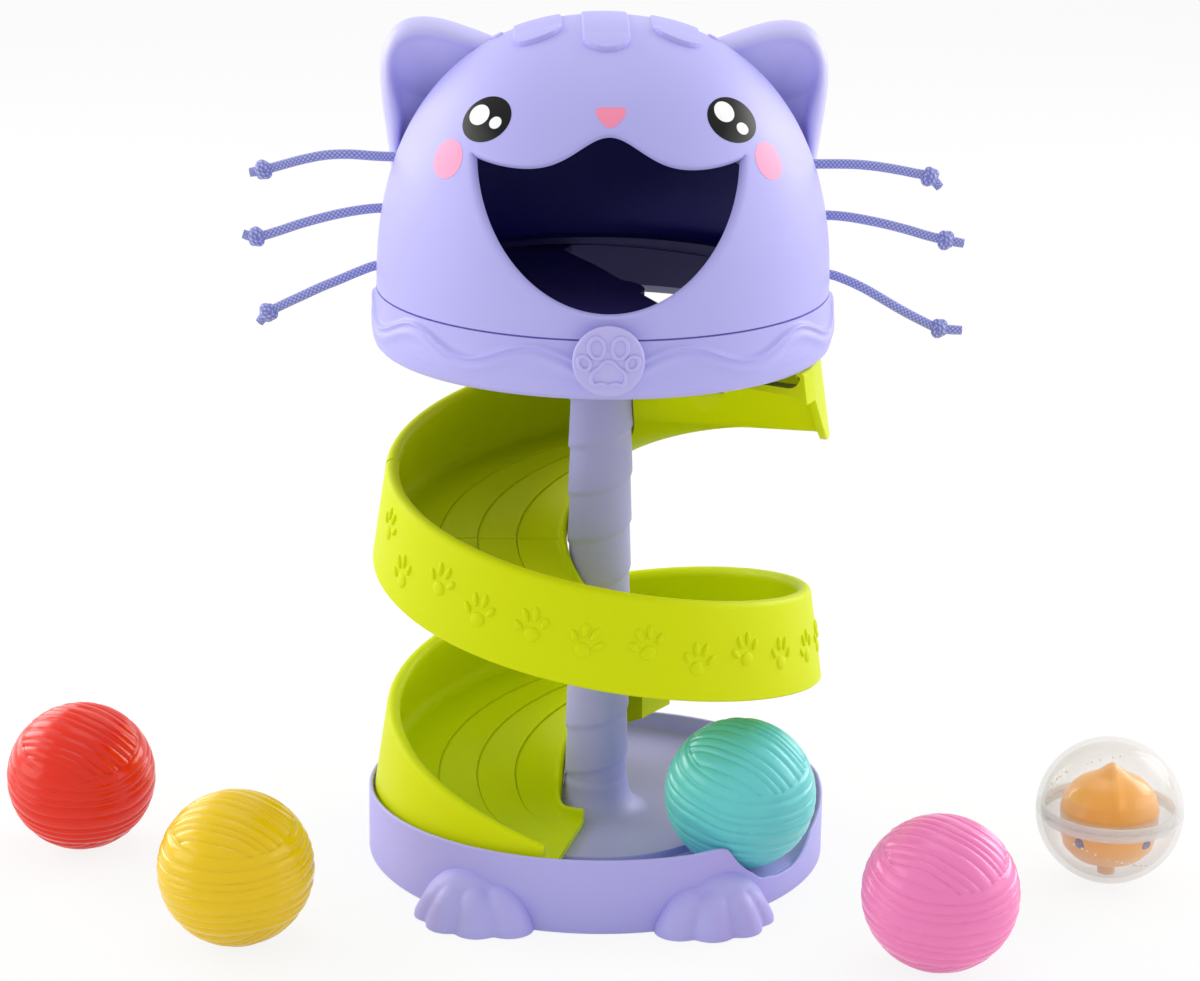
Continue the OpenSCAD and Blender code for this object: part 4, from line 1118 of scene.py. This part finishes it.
def tag():
    """Round tag: a rounded disc, and the pads of a paw print drawn as raised outlines."""
    half = [(0, 0), (TAG_R - 0.8, 0)] + arc_points(TAG_R - 1.2, 1.6, 1.2, -60, 70, 6)
    half += [(TAG_R - 1.8, TAG_T - 0.35), (TAG_R - 4, TAG_T - 0.1), (0, TAG_T)]
    disc = lathe(half, 96, closed=False)
    close_up(disc)
    lines = []
    for x, y, a, b, lean in TAG_TOES:
        c, s = cos(radians(lean)), sin(radians(lean))
        oval = [(a * cos(k * pi / 20), b * sin(k * pi / 20)) for k in range(40)]
        lines.append([Vector((x + px * c - py * s, y + px * s + py * c, TAG_T - 0.05)) for px, py in oval])
    lines.append(smooth_route([(x, y, TAG_T - 0.05) for x, y in TAG_PAD + TAG_PAD[:1]], per=5)[:-1])
    bm = join(disc, *(tube(line, lambda i: TAG_LINE, sides=10, closed=True, uv=None) for line in lines))
    upright = Matrix.Rotation(radians(90), 4, "X")
    bm.transform(Matrix.Translation((0, -TAG_Y, TAG_Z)) @ upright)
    stem = bmesh.new()
    bmesh.ops.create_cone(stem, cap_ends=True, segments=40, radius1=2.6, radius2=2.6, depth=9.6)
    stem.transform(Matrix.Translation((0, -TAG_Y + 4.4, TAG_Z - 4)) @ upright)
    return join(bm, stem)


piece("collar_wave", collar(), LAVENDER, replaces=("collar",), sharp=50, turn=HEAD_TURN)
piece("tag_paw_print", tag(), TAG_LAVENDER, replaces=("collar_tag",), sharp=50, turn=HEAD_TURN)


# Balls

CORDS_WOUND = 21
CAP_AXIS = Vector((-0.42, -0.84, -0.34)).normalized()
LOW_AXIS = Vector((-0.42, -0.84, 0.5)).normalized()


def ridged(value, wobble, kind):
    """Height of a rounded cord of yarn at a place across the winding; the cords differ in width."""
    uneven = value + wobble + 0.03 * sin(value * 11 + kind) + 0.012 * sin(value * 29)
    return abs(sin(uneven * CORDS_WOUND)) ** 0.7


def latitude(d, axis):
    q = d.dot(axis)
    return atan2(q, sqrt(max(1 - q * q, 0)))


def yarn_ball(name, centre, spin):
    """A ball wound round its middle, with a field of cords that cross it above and one below."""
    bm = bmesh.new()
    bmesh.ops.create_uvsphere(bm, u_segments=240, v_segments=240, radius=1)
    turns = [Matrix.Rotation(radians(angle), 3, axis) for angle, axis in zip(spin, "XYZ")]
    turn = turns[0] @ turns[1] @ turns[2]
    for v in bm.verts:
        d = v.co.normalized()
        wobble = noise.noise(d * 1.7 + Vector((spin[0], 0, 0))) * 0.045
        lat = atan2(d.z, hypot(d.x, d.y))
        past = abs(lat) - (0.62 + 0.06 * sin(atan2(d.y, d.x) * 2 + 1))
        if past > 0:
            across = latitude(d, CAP_AXIS if lat > 0 else LOW_AXIS)
            h = ridged(across, wobble, spin[0]) - 0.25 * exp(-(past / 0.03) ** 2)
        else:
            h = ridged(lat, wobble, spin[0])
        v.co = turn @ (d * (BALL_R - 0.85 + 0.8 * h)) + Vector(centre)
    bmesh.ops.recalc_face_normals(bm, faces=bm.faces)
    piece(name + "_ball_yarn", bm, YARN[name], replaces=(name + "_ball",), body=name, sharp=180)


yarn_ball("red", (-201, -11, BALL_R), (16, 2, 0))
yarn_ball("yellow", (-131, -98, BALL_R), (4, -3, 5))
yarn_ball("pink", (125, -112, BALL_R), (9, 2, -8))
yarn_ball("teal", tuple(TEAL), (11, 7, -5))

CLEAR_R, CLEAR_WALL = 28.3, 2
CLEAR_AT = Vector((198, -30, CLEAR_R))
FISH_R, FISH_DEPTH, FISH_UP, FISH_DOWN = 19, 17, 19.5, 22
FISH_SHARES = [(-1, 0.02), (-0.96, 0.4), (-0.86, 0.68), (-0.66, 0.9), (-0.4, 0.98), (-0.2, 1.0), (0.05, 1.0),
               (0.3, 0.93), (0.5, 0.8), (0.62, 0.66), (0.7, 0.5), (0.77, 0.34), (0.85, 0.24), (0.93, 0.14),
               (1, 0.03)]
GOLDEN_ANGLE, GOLDEN_SHARE = 2.399963, 0.618034


def clear_half(side):
    """Half a hollow ball: an outer and an inner skin joined at the rim; side is 1 above and -1 below."""
    skins = []
    for r in (CLEAR_R, CLEAR_R - CLEAR_WALL):
        profile = [(r * cos(radians(k * 3)), side * r * sin(radians(k * 3))) for k in range(30)]
        skins.append(lathe(profile + [(0, side * r)], 120, closed=False))
    bm = join(*skins)
    bmesh.ops.bridge_loops(bm, edges=[e for e in bm.edges if e.is_boundary])
    bmesh.ops.recalc_face_normals(bm, faces=bm.faces)
    bm.transform(Matrix.Translation(CLEAR_AT))
    return bm


def fish():
    """Seen head on: a round body that narrows to a pointed fin with a ridge, on a short foot."""
    rings = []
    for k in range(61):
        t = -1 + 2 * k / 60
        r = along(FISH_SHARES, t)
        ring = []
        for j in range(72):
            a = 2 * pi * j / 72
            x, y = FISH_R * r * cos(a), FISH_DEPTH * r * sin(a)
            if t > 0.05 and sin(a) < 0:
                y -= 1.8 * ease((t - 0.05) / 0.4) * exp(-(x / 2.2) ** 2)
            ring.append(Vector((x, y, (FISH_UP if t > 0 else FISH_DOWN) * t)))
        rings.append(ring)
    bm = swept(rings)
    close_up(bm)
    foot = bmesh.new()
    bmesh.ops.create_cone(foot, cap_ends=True, segments=48, radius1=3.4, radius2=3.4, depth=6)
    foot.transform(Matrix.Translation((0, 0, -CLEAR_R + 5.6)))
    bm = join(bm, foot)
    bm.transform(Matrix.Translation(CLEAR_AT))
    return bm


def fish_eye(side):
    bm = bmesh.new()
    bmesh.ops.create_uvsphere(bm, u_segments=32, v_segments=20, radius=1)
    for v in bm.verts:
        v.co = Vector((v.co.x * 3.1, v.co.y * 1.6, v.co.z * 2.5))
    bm.transform(Matrix.Translation(CLEAR_AT + Vector((side * 11.5, -11.6, -9))))
    return bm


def band():
    """A ring inside the clear ball that covers its seam."""
    out, deep, half = CLEAR_R - 2.2, CLEAR_R - 3.4, 2.6
    bm = lathe([(out, -half), (out, half), (deep, half), (deep, -half)], 120)
    bmesh.ops.recalc_face_normals(bm, faces=bm.faces)
    bm.transform(Matrix.Translation(CLEAR_AT + Vector((0, 0, -0.5))))
    return bm


def glitter():
    """Specks spread evenly over the inside of the clear ball."""
    parts = []
    for k in range(46):
        a, lift = GOLDEN_ANGLE * k, -0.92 + 1.84 * ((k * GOLDEN_SHARE) % 1)
        r = sqrt(1 - lift * lift)
        d = Vector((r * cos(a), r * sin(a), lift))
        bm = bmesh.new()
        bmesh.ops.create_icosphere(bm, subdivisions=1, radius=0.3 + 0.14 * (k % 3))
        bm.transform(Matrix.Translation(CLEAR_AT + d * (CLEAR_R - 2.6)))
        parts.append(bm)
    return join(*parts)


for side, name in ((1, "upper"), (-1, "lower")):
    piece("clear_shell_" + name, clear_half(side), CLEAR, replaces=("clear_ball_" + name,), body="clear",
          sharp=60)
piece("clear_band", band(), BAND, body="clear", sharp=60)
piece("fish_body", fish(), FISH, replaces=("fish",), body="clear", sharp=60)
for side, name in ((-1, "left"), (1, "right")):
    piece("fish_eye_" + name, fish_eye(side), FISH_EYE, body="clear", sharp=180)
piece("glitter_specks", glitter(), GLITTER, body="clear", sharp=180)


# CAD pieces that stay

# The hopper takes the dark navy of painted shade.
for name, material in (("hopper", PAINTED_SHADE_NAVY), ("base_screws", STEEL), ("head_screws", STEEL)):
    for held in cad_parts[name].material_slots:
        held.material = material


# Floor, light and world

WHITE = (1, 1, 1, 1)
FLOOR_GLOW, SKY_LIGHT = 0.86, 0.7


def background_rays(tree):
    """1 for the rays that see the background: straight, through clear plastic or off a gloss."""
    rays = add(tree, "ShaderNodeLightPath", {})
    bent = maths(tree, "MAXIMUM", rays["Is Transmission Ray"], rays["Is Glossy Ray"])
    return maths(tree, "MAXIMUM", rays["Is Camera Ray"], bent)


def blend_into(tree, outlet, share, a, b):
    """A mix of two shaders, led to the tree's output node."""
    mix = add(tree, "ShaderNodeMixShader", {"Fac": share, 1: a, 2: b})
    feed(tree, tree.nodes[outlet], {"Surface": mix["Shader"]})


def make_floor():
    """A pale floor a hair under the toy, which glows white where it is seen and takes faint shadows."""
    bm = bmesh.new()
    bmesh.ops.create_grid(bm, x_segments=1, y_segments=1, size=6)
    mesh = bpy.data.meshes.new("floor")
    bm.to_mesh(mesh)
    bm.free()
    ground = bpy.data.objects.new("floor", mesh)
    scene.collection.objects.link(ground)
    ground.location = (0, 0, -0.0002)
    material, tree, surface = new_material("pale_floor")
    feed(tree, surface, {"Base Color": (0.9, 0.9, 0.9, 1), "Roughness": 0.9})
    glow = add(tree, "ShaderNodeEmission", {"Color": WHITE, "Strength": 1})["Emission"]
    share = maths(tree, "MULTIPLY", background_rays(tree), FLOOR_GLOW)
    blend_into(tree, "Material Output", share, surface.outputs["BSDF"], glow)
    mesh.materials.append(material)


def make_world():
    """White where it is seen, and a softer white where it lights."""
    world = bpy.data.worlds.new("studio")
    scene.world = world
    world.use_nodes = True
    tree = world.node_tree
    sky = tree.nodes["Background"]
    feed(tree, sky, {"Color": WHITE, "Strength": SKY_LIGHT})
    white = add(tree, "ShaderNodeBackground", {"Color": WHITE, "Strength": 1})["Background"]
    blend_into(tree, "World Output", background_rays(tree), sky.outputs["Background"], white)


def lamp(name, place, aim, power, size):
    data = bpy.data.lights.new(name, "AREA")
    data.energy = power
    data.size = size
    light = bpy.data.objects.new(name, data)
    scene.collection.objects.link(light)
    light.location = place
    light.rotation_euler = (Vector(aim) - Vector(place)).to_track_quat("-Z", "Y").to_euler()


make_floor()
make_world()
lamp("left_side", (-1.7, -0.25, 0.55), (0, 0, 0.17), 7.4, 1.1)
lamp("right_side", (1.7, -0.25, 0.55), (0, 0, 0.17), 5.1, 1.1)
lamp("left_back", (-1.3, 0.9, 0.7), (0, 0, 0.17), 10.7, 0.9)
lamp("right_back", (1.3, 0.9, 0.7), (0, 0, 0.17), 12.4, 0.9)
lamp("top", (0.0, 0.3, 1.7), (0, 0, 0.2), 3.5, 1.0)
scene.view_settings.view_transform = "Standard"
